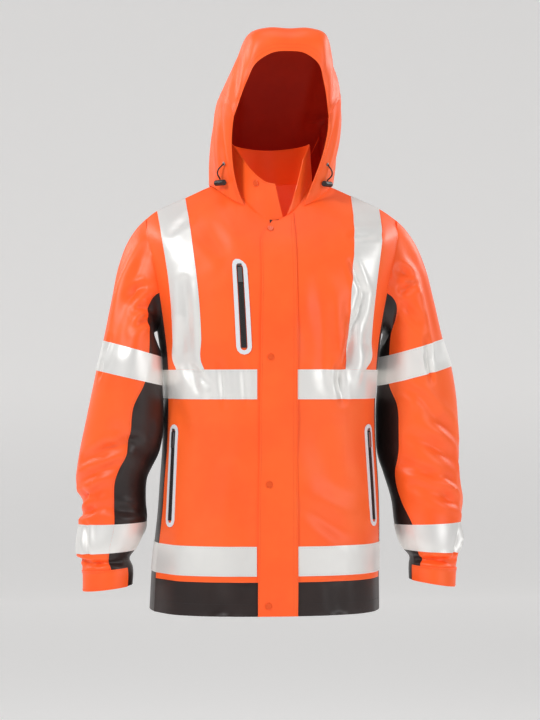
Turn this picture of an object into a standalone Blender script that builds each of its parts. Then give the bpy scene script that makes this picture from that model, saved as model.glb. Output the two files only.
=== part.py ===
"""Hi-vis work jacket in its worn shape, hood up: thin closed cloth walls, tape, pockets and trim.

Metres. +Z is up, the front faces -Y and the wearer's left is +X. The origin is the middle of the neck
base, between the shoulder seams. Each piece is a grid of points on one of the garment's surfaces, given
a wall to the inside and the outside of those points.
"""
import bpy
import bmesh
from math import cos, exp, pi, radians, sin
from mathutils import Matrix, Vector

CLOTH = 0.0015          # wall of one cloth panel
SEAM_GAP = 0.0003       # left between neighbouring pieces
WIDE_SEAM = 0.0018      # a dark panel stops this far inside its seams, where they twist
COLLAR_SEAM = 0.0030    # the collar stops this far from its seam
TAPE = 0.001            # reflective tape
FLAP = 0.0018           # storm flap, two layers
FRONT_EDGE = 0.008      # each front ends this far from the middle
FLAP_RIGHT = 0.034      # stitched edge of the storm flap
WAIST_TAPE = (0.312, 0.362)
HEM_TAPE = (0.609, 0.659)
HEM_BAND_TOP = 0.669
HEM = 0.726
UNDERARM = 0.300        # first level that is horizontal all round
SHOULDER_SEAM = 86.0    # angle of the seam, a little in front of the side
SHOULDER_TIP = 0.125    # level where the shoulder seam meets the armhole


def table(header, *rows):
    names = header.split()
    return [dict(zip(names, row)) for row in rows]


# Loops round the body. level counts down from the neckline and equals -z from the underarm on.
BODY = table(
    "level  z_front z_side z_back half_width front_depth back_depth square centre_x",
    (0.000, -0.058, 0.018, 0.012, 0.0720, 0.082, 0.062, 0.00, 0.000),
    (0.035, -0.086, 0.003, -0.014, 0.1080, 0.104, 0.084, 0.01, 0.001),
    (0.070, -0.114, -0.015, -0.042, 0.1480, 0.121, 0.103, 0.02, 0.002),
    (0.105, -0.141, -0.036, -0.071, 0.1940, 0.133, 0.116, 0.03, 0.002),
    (0.125, -0.156, -0.053, -0.090, 0.2180, 0.137, 0.122, 0.035, 0.002),
    (0.160, -0.184, -0.100, -0.128, 0.2190, 0.141, 0.129, 0.045, 0.001),
    (0.205, -0.219, -0.172, -0.184, 0.2080, 0.144, 0.133, 0.05, 0.000),
    (0.255, -0.260, -0.245, -0.248, 0.1945, 0.145, 0.133, 0.05, -0.001),
    (0.300, -0.300, -0.300, -0.300, 0.1875, 0.144, 0.131, 0.05, -0.001),
    (0.360, -0.360, -0.360, -0.360, 0.1838, 0.142, 0.128, 0.05, -0.002),
    (0.430, -0.430, -0.430, -0.430, 0.1840, 0.141, 0.127, 0.045, -0.002),
    (0.500, -0.500, -0.500, -0.500, 0.1885, 0.143, 0.129, 0.045, -0.002),
    (0.570, -0.570, -0.570, -0.570, 0.1925, 0.146, 0.131, 0.04, -0.003),
    (0.650, -0.650, -0.650, -0.650, 0.1965, 0.148, 0.134, 0.04, -0.008),
    (0.730, -0.730, -0.730, -0.730, 0.1990, 0.150, 0.136, 0.04, -0.010),
)

# Armhole, from the shoulder tip by the corner of the side panel to its lowest point.
ARMHOLE = table(
    "level  front back",
    (0.125, 86.0, 86.0),
    (0.145, 75.0, 103.0),
    (0.165, 68.0, 110.0),
    (0.185, 65.0, 114.0),
    (0.205, 64.5, 115.5),
    (0.226, 66.5, 113.5),
    (0.243, 72.0, 108.0),
    (0.252, 80.0, 100.0),
    (0.255, 90.0, 90.0),
)
PANEL_CORNER = 4        # armhole row where the side panel starts

# Side panel seams below the armhole.
SIDE_SEAMS = table(
    "level  front back",
    (0.205, 64.5, 115.5),
    (0.300, 68.0, 112.0),
    (0.400, 71.0, 109.0),
    (0.550, 73.0, 108.0),
    (0.730, 73.0, 108.0),
)

# Braces: levels of their edges on the shoulder seam, then their distance from the middle.
BRACES = table(
    "side level_in level_out chest_in chest_out waist_in waist_out",
    (-1, 0.0715, 0.1085, 0.126, 0.170, 0.121, 0.165),
    (1, 0.0620, 0.1000, 0.122, 0.163, 0.118, 0.155),
)

# Sleeve sections below the armhole: outer and inner edge as seen from the front, and the depth.
SLEEVE_HEADER = "name outer_x outer_z inner_x inner_z half_depth centre_y front_seam back_seam"
SLEEVES = {
    -1: table(
        SLEEVE_HEADER,
        ("upper_tape_top", 0.2890, -0.263, 0.1908, -0.291, 0.076, -0.034, 122, 240),
        ("upper_tape_end", 0.3010, -0.314, 0.1895, -0.340, 0.075, -0.038, 116, 242),
        ("upper_arm", 0.3115, -0.364, 0.1870, -0.385, 0.073, -0.036, 98, 245),
        ("above_elbow", 0.3210, -0.410, 0.1880, -0.423, 0.071, -0.028, 98, 245),
        ("elbow", 0.3300, -0.455, 0.1960, -0.458, 0.068, -0.016, 99, 246),
        ("below_elbow", 0.3350, -0.500, 0.2140, -0.497, 0.065, -0.010, 94, 248),
        ("elbow_fold", 0.3260, -0.548, 0.2165, -0.543, 0.063, -0.006, 89, 250),
        ("lower_tape_top", 0.3305, -0.578, 0.2155, -0.573, 0.062, -0.010, 91, 196),
        ("lower_tape_end", 0.3340, -0.628, 0.2345, -0.621, 0.056, -0.016, 94, 200),
        ("gather", 0.3265, -0.643, 0.2450, -0.637, 0.047, -0.020, 96, 200),
        ("cuff_top", 0.3235, -0.656, 0.2400, -0.650, 0.047, -0.023, 96, 200),
        ("cuff_end", 0.3225, -0.692, 0.2400, -0.681, 0.046, -0.027, 96, 200),
    ),
    1: table(
        SLEEVE_HEADER,
        ("upper_tape_top", 0.3030, -0.258, 0.1925, -0.291, 0.076, 0.008, 142, 250),
        ("upper_tape_end", 0.3190, -0.306, 0.1905, -0.341, 0.075, 0.011, 142, 252),
        ("upper_arm", 0.3275, -0.354, 0.1880, -0.380, 0.073, 0.013, 126, 254),
        ("above_elbow", 0.3315, -0.402, 0.1880, -0.420, 0.071, 0.013, 124, 255),
        ("elbow", 0.3320, -0.450, 0.1900, -0.458, 0.068, 0.010, 126, 255),
        ("below_elbow", 0.3325, -0.498, 0.2010, -0.496, 0.065, 0.005, 142, 256),
        ("elbow_fold", 0.3375, -0.548, 0.2140, -0.542, 0.063, 0.000, 143, 258),
        ("lower_tape_top", 0.3330, -0.577, 0.2185, -0.581, 0.062, -0.006, 126, 250),
        ("lower_tape_end", 0.3280, -0.630, 0.2325, -0.624, 0.056, -0.014, 128, 250),
        ("gather", 0.3240, -0.644, 0.2430, -0.638, 0.047, -0.018, 130, 250),
        ("cuff_top", 0.3215, -0.656, 0.2415, -0.650, 0.047, -0.021, 130, 250),
        ("cuff_end", 0.3185, -0.689, 0.2410, -0.676, 0.046, -0.026, 130, 250),
    ),
}
SLEEVE_STEPS = (0.0, 0.08, 0.22, 0.42, 0.68)     # rows between armhole and first section

# Hood arches from the face edge to the nape: foot on the neck, crown point and half width.
HOOD = table(
    "along foot_level foot_angle crown_y crown_z half_width",
    (0.00, 0.008, 39.0, -0.104, 0.228, 0.091),
    (0.08, 0.019, 51.0, -0.097, 0.256, 0.099),
    (0.20, 0.027, 67.0, -0.072, 0.270, 0.109),
    (0.38, 0.033, 88.0, -0.015, 0.274, 0.113),
    (0.56, 0.032, 108.0, 0.050, 0.256, 0.110),
    (0.72, 0.028, 126.0, 0.098, 0.210, 0.101),
    (0.86, 0.022, 142.0, 0.118, 0.130, 0.085),
    (1.00, 0.018, 156.0, 0.089, 0.000, 0.048),
)
HOOD_SQUARE = 0.068
HOOD_SLOPE = 0.095      # share of the half width taken off between crown and side
HOOD_FLAT = 0.050       # share of the height added beside the crown
HOOD_LEAN = 0.100       # sideways shift for each metre of height
HOOD_LIFT = 0.0027      # foot of the hood above the shoulders
HOOD_SEAM = 62.0        # angle on the arch where the middle panel starts

COLLAR = table(
    "height half_width front_depth back_depth",
    (0.000, 0.0720, 0.082, 0.062),
    (0.030, 0.0690, 0.086, 0.060),
    (0.062, 0.0675, 0.092, 0.059),
)
COLLAR_LEFT = (16.0, 50.0)   # angle of the left front end, foot and top
COLLAR_RIGHT = (13.0, 1.0)   # angle of the right front end, which crosses the middle

# Pockets on the fronts: middle line from its top to its bottom.
POCKETS = table(
    "name       top_x   top_z  end_x   end_z",
    ("chest", -0.0635, -0.127, -0.0555, -0.287),
    ("hand_right", -0.1690, -0.405, -0.1770, -0.580),
    ("hand_left", 0.1590, -0.405, 0.1700, -0.580),
)
FRAME_HALF = 0.0132
SLOT_HALF = 0.0058
SNAPS = ((-0.008, -0.0755), (-0.0117, -0.2905), (-0.014, -0.505), (-0.016, -0.708))
SNAP_RADIUS = 0.006

COLOURS = {
    "orange": (1.0, 0.13, 0.02, 1.0, 0.6),
    "dark": (0.025, 0.02, 0.022, 1.0, 0.5),
    "tape": (0.85, 0.85, 0.83, 1.0, 0.4),
    "zip": (0.05, 0.05, 0.055, 1.0, 0.5),
    "metal": (0.35, 0.35, 0.36, 1.0, 0.35),
    "cord": (0.015, 0.015, 0.015, 1.0, 0.7),
}


def material(name):
    found = bpy.data.materials.get(name)
    if found:
        return found
    made = bpy.data.materials.new(name)
    made.use_nodes = True
    shader = made.node_tree.nodes["Principled BSDF"]
    shader.inputs["Base Color"].default_value = COLOURS[name][:4]
    shader.inputs["Roughness"].default_value = COLOURS[name][4]
    shader.inputs["Metallic"].default_value = 1.0 if name == "metal" else 0.0
    return made


def read(rows, key, column, at):
    """A cubic through one column of a table, with slopes from the neighbouring rows."""
    xs = [row[key] for row in rows]
    ys = [row[column] for row in rows]
    last = len(xs) - 1
    at = min(max(at, xs[0]), xs[last])
    i = max(k for k in range(last) if xs[k] <= at) if at > xs[0] else 0
    span = xs[i + 1] - xs[i]

    def slope(k):
        low, high = max(k - 1, 0), min(k + 1, last)
        return (ys[high] - ys[low]) / (xs[high] - xs[low]) * span

    t = (at - xs[i]) / span
    ease = t * t * (3 - 2 * t)
    rise = t * (1 - t) * ((1 - t) * slope(i) - t * slope(i + 1))
    return ys[i] + (ys[i + 1] - ys[i]) * ease + rise


def body_point(level, angle):
    """Point of the body: angle 0 is the middle of the front, 90 the wearer's left, 180 the back."""
    row = {name: read(BODY, "level", name, level) for name in BODY[0] if name != "level"}
    c, s, k = cos(radians(angle)), sin(radians(angle)), row["square"]
    depth = row["front_depth"] if c > 0 else row["back_depth"]
    end = row["z_front"] if c > 0 else row["z_back"]
    x = row["half_width"] * (s + k * sin(radians(3 * angle))) / (1 - k)
    y = -depth * (c - k * cos(radians(3 * angle))) / (1 - k)
    z = row["z_side"] + (end - row["z_side"]) * c * c
    return Vector((row["centre_x"] + x, y, z))


def normal_of(surface, u, v, du, dv):
    """Outward normal of a surface by small steps, where u leads down and v round by the left."""
    down = surface(u + du, v) - surface(u - du, v)
    around = surface(u, v + dv) - surface(u, v - dv)
    return down.cross(around).normalized()


def body_normal(level, angle):
    return normal_of(body_point, max(level, 0.002), angle, 0.002, 1.0)


def angle_at(level, x, back=False):
    """Angle of the point of a level that has the given x."""
    low, high = (90.0, 180.0) if back else (0.0, 90.0)
    if x < 0:
        low, high = -low, -high
    for _ in range(30):
        middle = (low + high) / 2
        further_out = abs(body_point(level, middle).x) > abs(x)
        if further_out != back:
            high = middle
        else:
            low = middle
    return (low + high) / 2


def body_spot(x, z):
    """Level and angle of the point of the front that has the given x and z."""
    level = -z
    for _ in range(25):
        angle = angle_at(level, x)
        level += body_point(level, angle).z - z
    return level, angle


def solid(name, grid, low, high, paint, inset=SEAM_GAP / 2, closed=False, turned=0):
    """A closed wall from low to high outside a grid of (point, outward vector) pairs.

    The squares of the first turned rows are split along their other diagonal.
    """
    rows, columns = len(grid), len(grid[0])
    points = [[pair[0].copy() for pair in row] for row in grid]
    for r in range(rows):
        if not closed:
            points[r][0] += (grid[r][1][0] - grid[r][0][0]).normalized() * inset
            points[r][-1] += (grid[r][-2][0] - grid[r][-1][0]).normalized() * inset
    for c in range(columns):
        points[0][c] += (grid[1][c][0] - grid[0][c][0]).normalized() * inset
        points[-1][c] += (grid[-2][c][0] - grid[-1][c][0]).normalized() * inset
    vertices, faces = [], []
    for lift in (high, low):
        for r in range(rows):
            for c in range(columns):
                vertices.append(points[r][c] + grid[r][c][1] * lift)

    def at(layer, r, c):
        return layer * rows * columns + r * columns + c % columns

    def quad(a, b, c, d):
        faces.extend(((a, b, c), (a, c, d)))

    around = columns if closed else columns - 1
    for r in range(rows - 1):
        for c in range(around):
            for layer in (0, 1):
                square = [at(layer, r, c), at(layer, r + 1, c), at(layer, r + 1, c + 1),
                          at(layer, r, c + 1)]
                quad(*(square[1:] + square[:1] if r < turned else square))
    for c in range(around):
        quad(at(0, 0, c), at(0, 0, c + 1), at(1, 0, c + 1), at(1, 0, c))
        quad(at(0, rows - 1, c + 1), at(0, rows - 1, c), at(1, rows - 1, c), at(1, rows - 1, c + 1))
    if not closed:
        for r in range(rows - 1):
            quad(at(0, r + 1, 0), at(0, r, 0), at(1, r, 0), at(1, r + 1, 0))
            quad(at(0, r, columns - 1), at(0, r + 1, columns - 1), at(1, r + 1, columns - 1),
                 at(1, r, columns - 1))
    mesh = bpy.data.meshes.new(name)
    mesh.from_pydata(vertices, [], faces)
    mesh.update()
    return place(name, mesh, paint)


def place(name, mesh, paint):
    work = bmesh.new()
    work.from_mesh(mesh)
    bmesh.ops.recalc_face_normals(work, faces=work.faces)
    work.to_mesh(mesh)
    work.free()
    mesh.materials.append(material(paint))
    made = bpy.data.objects.new(name, mesh)
    bpy.context.scene.collection.objects.link(made)
    return made


def panel(name, grid, paint, inset=SEAM_GAP / 2):
    return solid(name, grid, -CLOTH / 2, CLOTH / 2, paint, inset)


def tape(name, grid, turned=0):
    low = CLOTH / 2 + SEAM_GAP
    return solid(name, grid, low, low + TAPE, "tape", turned=turned)


def cut(grid, first, last, left=0, right=None):
    """Rows first to last of a grid, and its columns from left to right."""
    return [row[left:right] for row in grid[first:last + 1]]


# Rows of the body panels: those beside the armhole, then the horizontal ones.
SIDE_ROWS = [row["level"] for row in ARMHOLE[:PANEL_CORNER + 1]] + [0.237, 0.269, UNDERARM]
LOW_ROWS = [WAIST_TAPE[0], WAIST_TAPE[1], 0.400, 0.450, 0.500, 0.555, HEM_TAPE[0], HEM_TAPE[1],
            HEM_BAND_TOP]
HEM_ROWS = [HEM_BAND_TOP, 0.699, HEM]
UNDERARM_ROW = len(SIDE_ROWS) - 1
WAIST_ROWS = (UNDERARM_ROW + 1, UNDERARM_ROW + 2)
HEM_TAPE_ROWS = (UNDERARM_ROW + 7, UNDERARM_ROW + 8)


def seam_angle(level, face):
    """Angle of the outer edge of a front or back panel at a level."""
    if level <= ARMHOLE[PANEL_CORNER]["level"]:
        return read(ARMHOLE, "level", face, level)
    return read(SIDE_SEAMS, "level", face, level)


def panel_columns(side, face):
    """Columns from the middle to the armhole: (level, x) on the top edge and x at three levels below."""
    brace = next(row for row in BRACES if row["side"] == side)
    back = face == "back"
    neck = lambda angle: abs(body_point(0.0, 180 - angle if back else angle).x)
    shoulder = lambda level: abs(body_point(level, side * SHOULDER_SEAM).x)
    middle = 0.0 if back else FRONT_EDGE
    side_x = {level: abs(body_point(level, side * seam_angle(level, face)).x)
              for level in (UNDERARM, WAIST_TAPE[0], HEM)}
    share = lambda low, high, part: low + (high - low) * part
    columns = [
        (0.0, middle, middle, middle, middle),
        (0.0, 0.034, 0.034, 0.034, 0.035),
        (0.0, neck(52.0), 0.064, 0.062, 0.064),
        (0.0, neck(76.0), 0.095, 0.092, 0.094),
        (0.032, shoulder(0.032), 0.110, 0.107, 0.110),
        (brace["level_in"], shoulder(brace["level_in"]), brace["chest_in"], brace["waist_in"], 0.124),
    ]
    middle_level = (brace["level_in"] + brace["level_out"]) / 2
    columns.append((middle_level, shoulder(middle_level), share(brace["chest_in"], brace["chest_out"], 0.5),
                    share(brace["waist_in"], brace["waist_out"], 0.5), 0.147))
    columns.append((brace["level_out"], shoulder(brace["level_out"]), brace["chest_out"],
                    brace["waist_out"], 0.168))
    columns.append((SHOULDER_TIP, None, side_x[UNDERARM], side_x[WAIST_TAPE[0]], side_x[HEM]))
    return columns


def body_pair(level, angle):
    return body_point(level, angle), body_normal(level, angle)


def half_panel(side, face, mitres):
    """Grid of half a front or back, as a list of rows from the middle out to the armhole."""
    back = face == "back"
    columns = panel_columns(side, face)
    last = len(columns) - 1
    grid = []
    for r, row_level in enumerate(SIDE_ROWS + LOW_ROWS):
        row = []
        for c, (top_level, top_x, under_x, waist_x, hem_x) in enumerate(columns):
            if c == last:
                angle = side * seam_angle(row_level, face)
                pair = body_pair(row_level, angle)
                if r <= PANEL_CORNER:
                    pair = (pair[0], mitres[side][r if not back else -r])
            elif r == 0:
                if top_level > 0:
                    pair = body_pair(top_level, side * SHOULDER_SEAM)
                else:
                    angle = angle_at(0.0, side * top_x, back) if top_x else 180.0
                    pair = (body_point(0.0, angle), neck_mitre(angle))
            else:
                if r <= UNDERARM_ROW:
                    part = (row_level - SHOULDER_TIP) / (UNDERARM - SHOULDER_TIP)
                    level = top_level + (UNDERARM - top_level) * part
                    ease = part * (2 - part)
                    x = top_x + (under_x - top_x) * ease
                else:
                    level = row_level
                    part = min((level - UNDERARM) / (WAIST_TAPE[0] - UNDERARM), 1.0)
                    x = under_x + (waist_x - under_x) * part
                    if level > WAIST_TAPE[1]:
                        x += (hem_x - waist_x) * (level - WAIST_TAPE[1]) / (HEM - WAIST_TAPE[1])
                angle = angle_at(level, side * x, back) if x else 180.0
                pair = body_pair(level, angle)
            row.append(pair)
        grid.append(row)
    return grid


def hem_grid(face, side):
    """Grid of the hem band below a half panel, on the same columns."""
    back = face == "back"
    columns = panel_columns(side, face)
    grid = []
    for level in HEM_ROWS:
        row = []
        for c, (_, _, _, waist_x, hem_x) in enumerate(columns):
            if c == len(columns) - 1:
                angle = side * seam_angle(level, face)
            else:
                x = waist_x + (hem_x - waist_x) * (level - WAIST_TAPE[1]) / (HEM - WAIST_TAPE[1])
                angle = angle_at(level, side * x, back) if x else 180.0
            row.append(body_pair(level, angle))
        grid.append(row)
    return grid


def side_grid(side, mitres):
    """Grid of a side panel, from its front seam round to its back seam."""
    edge = [(row["level"], side * row["front"]) for row in ARMHOLE[PANEL_CORNER:]]
    edge += [(row["level"], side * row["back"]) for row in reversed(ARMHOLE[PANEL_CORNER:-1])]
    rows = SIDE_ROWS[PANEL_CORNER:] + LOW_ROWS + HEM_ROWS[1:]
    start = SIDE_ROWS[PANEL_CORNER]
    grid = []
    for r, row_level in enumerate(rows):
        row = []
        front = side * read(SIDE_SEAMS, "level", "front", row_level)
        back = side * read(SIDE_SEAMS, "level", "back", row_level)
        for c, (top_level, top_angle) in enumerate(edge):
            share = c / (len(edge) - 1)
            if c in (0, len(edge) - 1):
                level, angle = row_level, front if c == 0 else back
            elif row_level < UNDERARM:
                part = (row_level - start) / (UNDERARM - start)
                low_front = side * read(SIDE_SEAMS, "level", "front", UNDERARM)
                low_back = side * read(SIDE_SEAMS, "level", "back", UNDERARM)
                level = top_level + (UNDERARM - top_level) * part
                angle = top_angle + (low_front + (low_back - low_front) * share - top_angle) * part
            else:
                level, angle = row_level, front + (back - front) * share
            pair = body_pair(level, angle)
            if r == 0:
                pair = (pair[0], mitres[side][PANEL_CORNER + c])
            row.append(pair)
        grid.append(row)
    return grid


def mitre(first, second):
    """Vector that both walls of a seam share, long enough to keep their thickness."""
    return (first + second) / max(1 + first.dot(second), 0.6)


def armhole_loop(side):
    """Level and angle of the sixteen armhole points: down the front from the tip, up the back."""
    front = [(row["level"], side * row["front"]) for row in ARMHOLE]
    back = [(row["level"], side * row["back"]) for row in reversed(ARMHOLE[1:-1])]
    return front + back


def sleeve_ring(side, section):
    """The sixteen points of a sleeve section, from its outer edge round by the front."""
    outer = Vector((side * section["outer_x"], section["centre_y"], section["outer_z"]))
    inner = Vector((side * section["inner_x"], section["centre_y"], section["inner_z"]))
    centre, out = (outer + inner) / 2, (outer - inner) / 2
    forward = Vector((0.0, -section["half_depth"], 0.0))
    corners = (0.0, section["front_seam"], 180.0, section["back_seam"], 360.0)
    ring = []
    for j in range(16):
        quarter, step = divmod(j, 4)
        angle = corners[quarter] + (corners[quarter + 1] - corners[quarter]) * step / 4
        ring.append(centre + out * cos(radians(angle)) + forward * sin(radians(angle)))
    return ring


def sleeve_rows(side):
    """Every ring of a sleeve, from the armhole to the cuff end."""
    sections = SLEEVES[side]
    start = [body_point(level, angle) for level, angle in armhole_loop(side)]
    first = sleeve_ring(side, sections[0])
    rows = []
    for t in SLEEVE_STEPS:
        ring = []
        for j in range(16):
            low = (1 - cos(2 * pi * j / 16)) / 2
            span = (first[j] - start[j]).length
            tilt = radians(40.0 - 22.0 * low)
            leave = Vector((side * cos(tilt), 0.0, -sin(tilt))) * span * (1.0 + 0.5 * low)
            arrive = Vector((side * 0.27, 0.0, -0.96)) * span
            a = 2 * t ** 3 - 3 * t ** 2 + 1
            point = start[j] * a + leave * (t ** 3 - 2 * t ** 2 + t)
            point += first[j] * (1 - a) + arrive * (t ** 3 - t ** 2)
            ring.append(point)
        rows.append(ring)
    return rows + [sleeve_ring(side, section) for section in sections]


def tube_normals(rows, side):
    """Outward normals of a tube whose rings run from the outside round by the front."""
    count = len(rows[0])
    normals = []
    for r in range(len(rows)):
        up, down = rows[max(r - 1, 0)], rows[min(r + 1, len(rows) - 1)]
        ring = []
        for j in range(count):
            along = down[j] - up[j]
            around = rows[r][(j + 1) % count] - rows[r][j - 1]
            ring.append(along.cross(around).normalized() * -side)
        normals.append(ring)
    return normals


def neck_mitre(angle):
    flat = Vector((sin(radians(angle)), -cos(radians(angle)), 0.0))
    return mitre(body_normal(0.0, angle), flat)


def build_sleeve(side, name, rows, normals, mitres):
    grid = []
    for r, ring in enumerate(rows):
        vectors = mitres[side] if r == 0 else normals[r]
        grid.append([(ring[j], vectors[j]) for j in range(16)])
    top = [[row[j] for j in (12, 13, 14, 15, 0, 1, 2, 3, 4)] for row in grid]
    under = [[row[j] for j in range(4, 13)] for row in grid]
    start = len(SLEEVE_STEPS)
    upper, lower, cuff = (start, start + 1), (start + 7, start + 8), (start + 10, start + 11)
    panel("sleeve_top_" + name, top, "orange")
    panel("sleeve_under_" + name, under, "dark", WIDE_SEAM)
    for place_name, part in (("top", top), ("under", under)):
        tape("sleeve_tape_upper_" + place_name + "_" + name, cut(part, *upper))
        tape("sleeve_tape_lower_" + place_name + "_" + name, cut(part, *lower))
    round_front = [[row[j] for j in (14, 15, 0, 1, 2, 3, 4, 5, 6)] for row in grid]
    low = CLOTH / 2 + SEAM_GAP
    solid("cuff_tab_" + name, cut(round_front, *cuff), low, low + 0.0018, "orange")


def flap_left(level):
    """Free edge of the storm flap: its upper corner is cut away."""
    corner = max(0.0, (0.050 - level) / 0.038)
    return -0.0245 - 0.0125 * level + 0.0155 * corner ** 1.5


def build_closing():
    top = [0.003, 0.012, 0.026, 0.042, 0.065, 0.095, 0.135, 0.18, 0.23, 0.265, UNDERARM]
    grid = []
    for level in top + LOW_ROWS + HEM_ROWS[1:]:
        left = flap_left(level)
        xs = [left + (FLAP_RIGHT - left) * part for part in (0.0, 0.28, 0.55, 0.78, 1.0)]
        grid.append([body_pair(level, angle_at(level, x)) for x in xs])
    low = CLOTH / 2 + 4 * SEAM_GAP
    solid("storm_flap", grid, low, low + FLAP, "orange")
    zip_grid = []
    for level in [0.0, 0.035, 0.07, 0.105, 0.15, 0.2, 0.25, UNDERARM] + LOW_ROWS + HEM_ROWS[1:]:
        xs = (-FRONT_EDGE, 0.0, FRONT_EDGE)
        zip_grid.append([body_pair(level, angle_at(level, x)) for x in xs])
    solid("front_zip", zip_grid, -CLOTH / 2, CLOTH / 2, "zip")
    for number, (x, z) in enumerate(SNAPS, 1):
        level, angle = body_spot(x, z)
        lift = low + FLAP + SEAM_GAP
        button("snap_%d" % number, *body_pair(level, angle), lift)


def button(name, point, normal, lift):
    """A low domed disc on a surface."""
    turn = normal.to_track_quat("Z", "Y").to_matrix().to_4x4()
    work = bmesh.new()
    bmesh.ops.create_cone(work, cap_ends=True, segments=16, radius1=SNAP_RADIUS, radius2=SNAP_RADIUS * 0.8,
                          depth=0.0016, matrix=Matrix.Translation(point + normal * (lift + 0.0008)) @ turn)
    mesh = bpy.data.meshes.new(name)
    work.to_mesh(mesh)
    work.free()
    return place(name, mesh, "orange")


def collar_point(height, angle):
    row = {name: read(COLLAR, "height", name, height) for name in COLLAR[0] if name != "height"}
    c, s = cos(radians(angle)), sin(radians(angle))
    depth = row["front_depth"] if c > 0 else row["back_depth"]
    foot = body_point(0.0, angle)
    return Vector((row["half_width"] * s, -depth * c, foot.z + height))


def collar_grid():
    """Grid of the collar, from its left front end round the neck to its right one."""
    grid = []
    for height in (0.0, 0.016, 0.032, 0.048, 0.062):
        share = height / 0.062
        start = COLLAR_LEFT[0] + (COLLAR_LEFT[1] - COLLAR_LEFT[0]) * share
        end = 360 + COLLAR_RIGHT[0] + (COLLAR_RIGHT[1] - COLLAR_RIGHT[0]) * share
        row = []
        for c in range(25):
            angle = start + (end - start) * c / 24
            vector = -normal_of(collar_point, max(height, 0.002), angle, 0.002, 1.0)
            row.append((collar_point(height, angle), neck_mitre(angle) if height == 0 else vector))
        grid.append(row)
    return grid


def build_collar():
    grid = collar_grid()
    panel("collar", grid, "orange", COLLAR_SEAM)
    snap_angle = 360 - 27.0
    point = collar_point(0.048, snap_angle)
    vector = -normal_of(collar_point, 0.048, snap_angle, 0.002, 1.0)
    button("collar_snap", point, vector, CLOTH / 2 + SEAM_GAP)


def hood_point(along, turn):
    """Point of an arch of the hood: turn -90 is its right foot, 0 the crown and 90 its left foot."""
    row = {name: read(HOOD, "along", name, along) for name in HOOD[0] if name != "along"}
    side = -1 if turn < 0 else 1
    foot_level, foot_angle = row["foot_level"], side * row["foot_angle"]
    foot = body_point(foot_level, foot_angle) + body_normal(foot_level, foot_angle) * HOOD_LIFT
    k, angle = HOOD_SQUARE, abs(turn)
    out = (sin(radians(angle)) + k * sin(radians(3 * angle))) / (1 - k)
    up = (cos(radians(angle)) - k * cos(radians(3 * angle))) / (1 - k)
    out -= HOOD_SLOPE * exp(-((angle - 42) / 14) ** 2)
    up += HOOD_FLAT * exp(-((angle - 26) / 11) ** 2) * min(along / 0.08, 1.0)
    x = row["half_width"] * out - (row["half_width"] - abs(foot.x)) * (1 - up) ** 3
    y = foot.y + (row["crown_y"] - foot.y) * up
    z = foot.z + (row["crown_z"] - foot.z) * up
    return Vector((side * x + HOOD_LEAN * max(z, 0.0), y, z))


def hood_pair(along, turn):
    low, high = max(along - 0.01, 0.0), min(along + 0.01, 1.0)
    back = hood_point(high, turn) - hood_point(low, turn)
    step = 1.0 if abs(turn) < 89 else 0.5
    start, end = max(turn - step, -90.0), min(turn + step, 90.0)
    around = hood_point(along, end) - hood_point(along, start)
    return hood_point(along, turn), around.cross(back).normalized()


HOOD_ROWS = (0.0, 0.06, 0.14, 0.25, 0.38, 0.5, 0.62, 0.74, 0.86, 1.0)


def build_hood():
    parts = (
        ("hood_right", [-90, -86, -82, -78, -74, -70, -66, -HOOD_SEAM]),
        ("hood_centre", [-HOOD_SEAM, -45, -30, -15, 0, 15, 30, 45, HOOD_SEAM]),
        ("hood_left", [HOOD_SEAM, 66, 70, 74, 78, 82, 86, 90]),
    )
    for name, turns in parts:
        panel(name, [[hood_pair(along, turn) for turn in turns] for along in HOOD_ROWS], "orange")


def pocket_grid(pocket, ring):
    """Points of a ring of (along, across) offsets laid on the front at a pocket's middle line."""
    grid = []
    for line in ring:
        row = []
        for along, across in line:
            share = along / abs(pocket["end_z"] - pocket["top_z"])
            x = pocket["top_x"] + (pocket["end_x"] - pocket["top_x"]) * share
            z = pocket["top_z"] + (pocket["end_z"] - pocket["top_z"]) * share
            level, angle = body_spot(x, z)
            rate = (body_point(level, angle + 1) - body_point(level, angle - 1)).length / 2
            row.append(body_pair(level, angle + across / rate))
        grid.append(row)
    return grid


def capsule(length, half, steps):
    """Outline of a long slot with round ends, as (along, across) offsets."""
    outline = []
    for end, sign in ((length - half, 1), (half, -1)):
        for i in range(steps + 1):
            angle = pi * i / steps
            outline.append((end + sign * half * sin(angle), sign * half * cos(angle)))
    return outline


def pocket_length(pocket):
    return abs(pocket["end_z"] - pocket["top_z"])


def resampled(outline, pieces):
    """The outline with its two long straight sides cut into pieces."""
    full = []
    for i, start in enumerate(outline):
        end = outline[(i + 1) % len(outline)]
        count = pieces if abs(end[0] - start[0]) > 0.05 else 1
        for k in range(count):
            part = k / count
            full.append((start[0] + (end[0] - start[0]) * part, start[1] + (end[1] - start[1]) * part))
    return full


def build_pocket(pocket):
    length = pocket_length(pocket)
    outer = resampled(capsule(length, FRAME_HALF, 6), 8)
    wall = FRAME_HALF - SLOT_HALF
    inner = resampled(capsule(length - 2 * wall, SLOT_HALF, 6), 8)
    inner = [(along + wall, across) for along, across in inner]
    low = CLOTH / 2 + 2 * SEAM_GAP
    frame = pocket_grid(pocket, (outer, inner))
    solid("pocket_frame_" + pocket["name"], frame, low, low + TAPE, "tape", closed=True)
    zip_start, zip_end = wall + 0.004, length - wall - 0.004
    steps = 9
    lines = []
    for i in range(steps):
        along = zip_start + (zip_end - zip_start) * i / (steps - 1)
        lines.append([(along, across) for across in (SLOT_HALF - 0.0008, 0.0, -SLOT_HALF + 0.0008)])
    grid = pocket_grid(pocket, lines)
    solid("pocket_zip_" + pocket["name"], grid, low, low + TAPE, "zip")
    build_pull(pocket, low + TAPE + SEAM_GAP)


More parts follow.
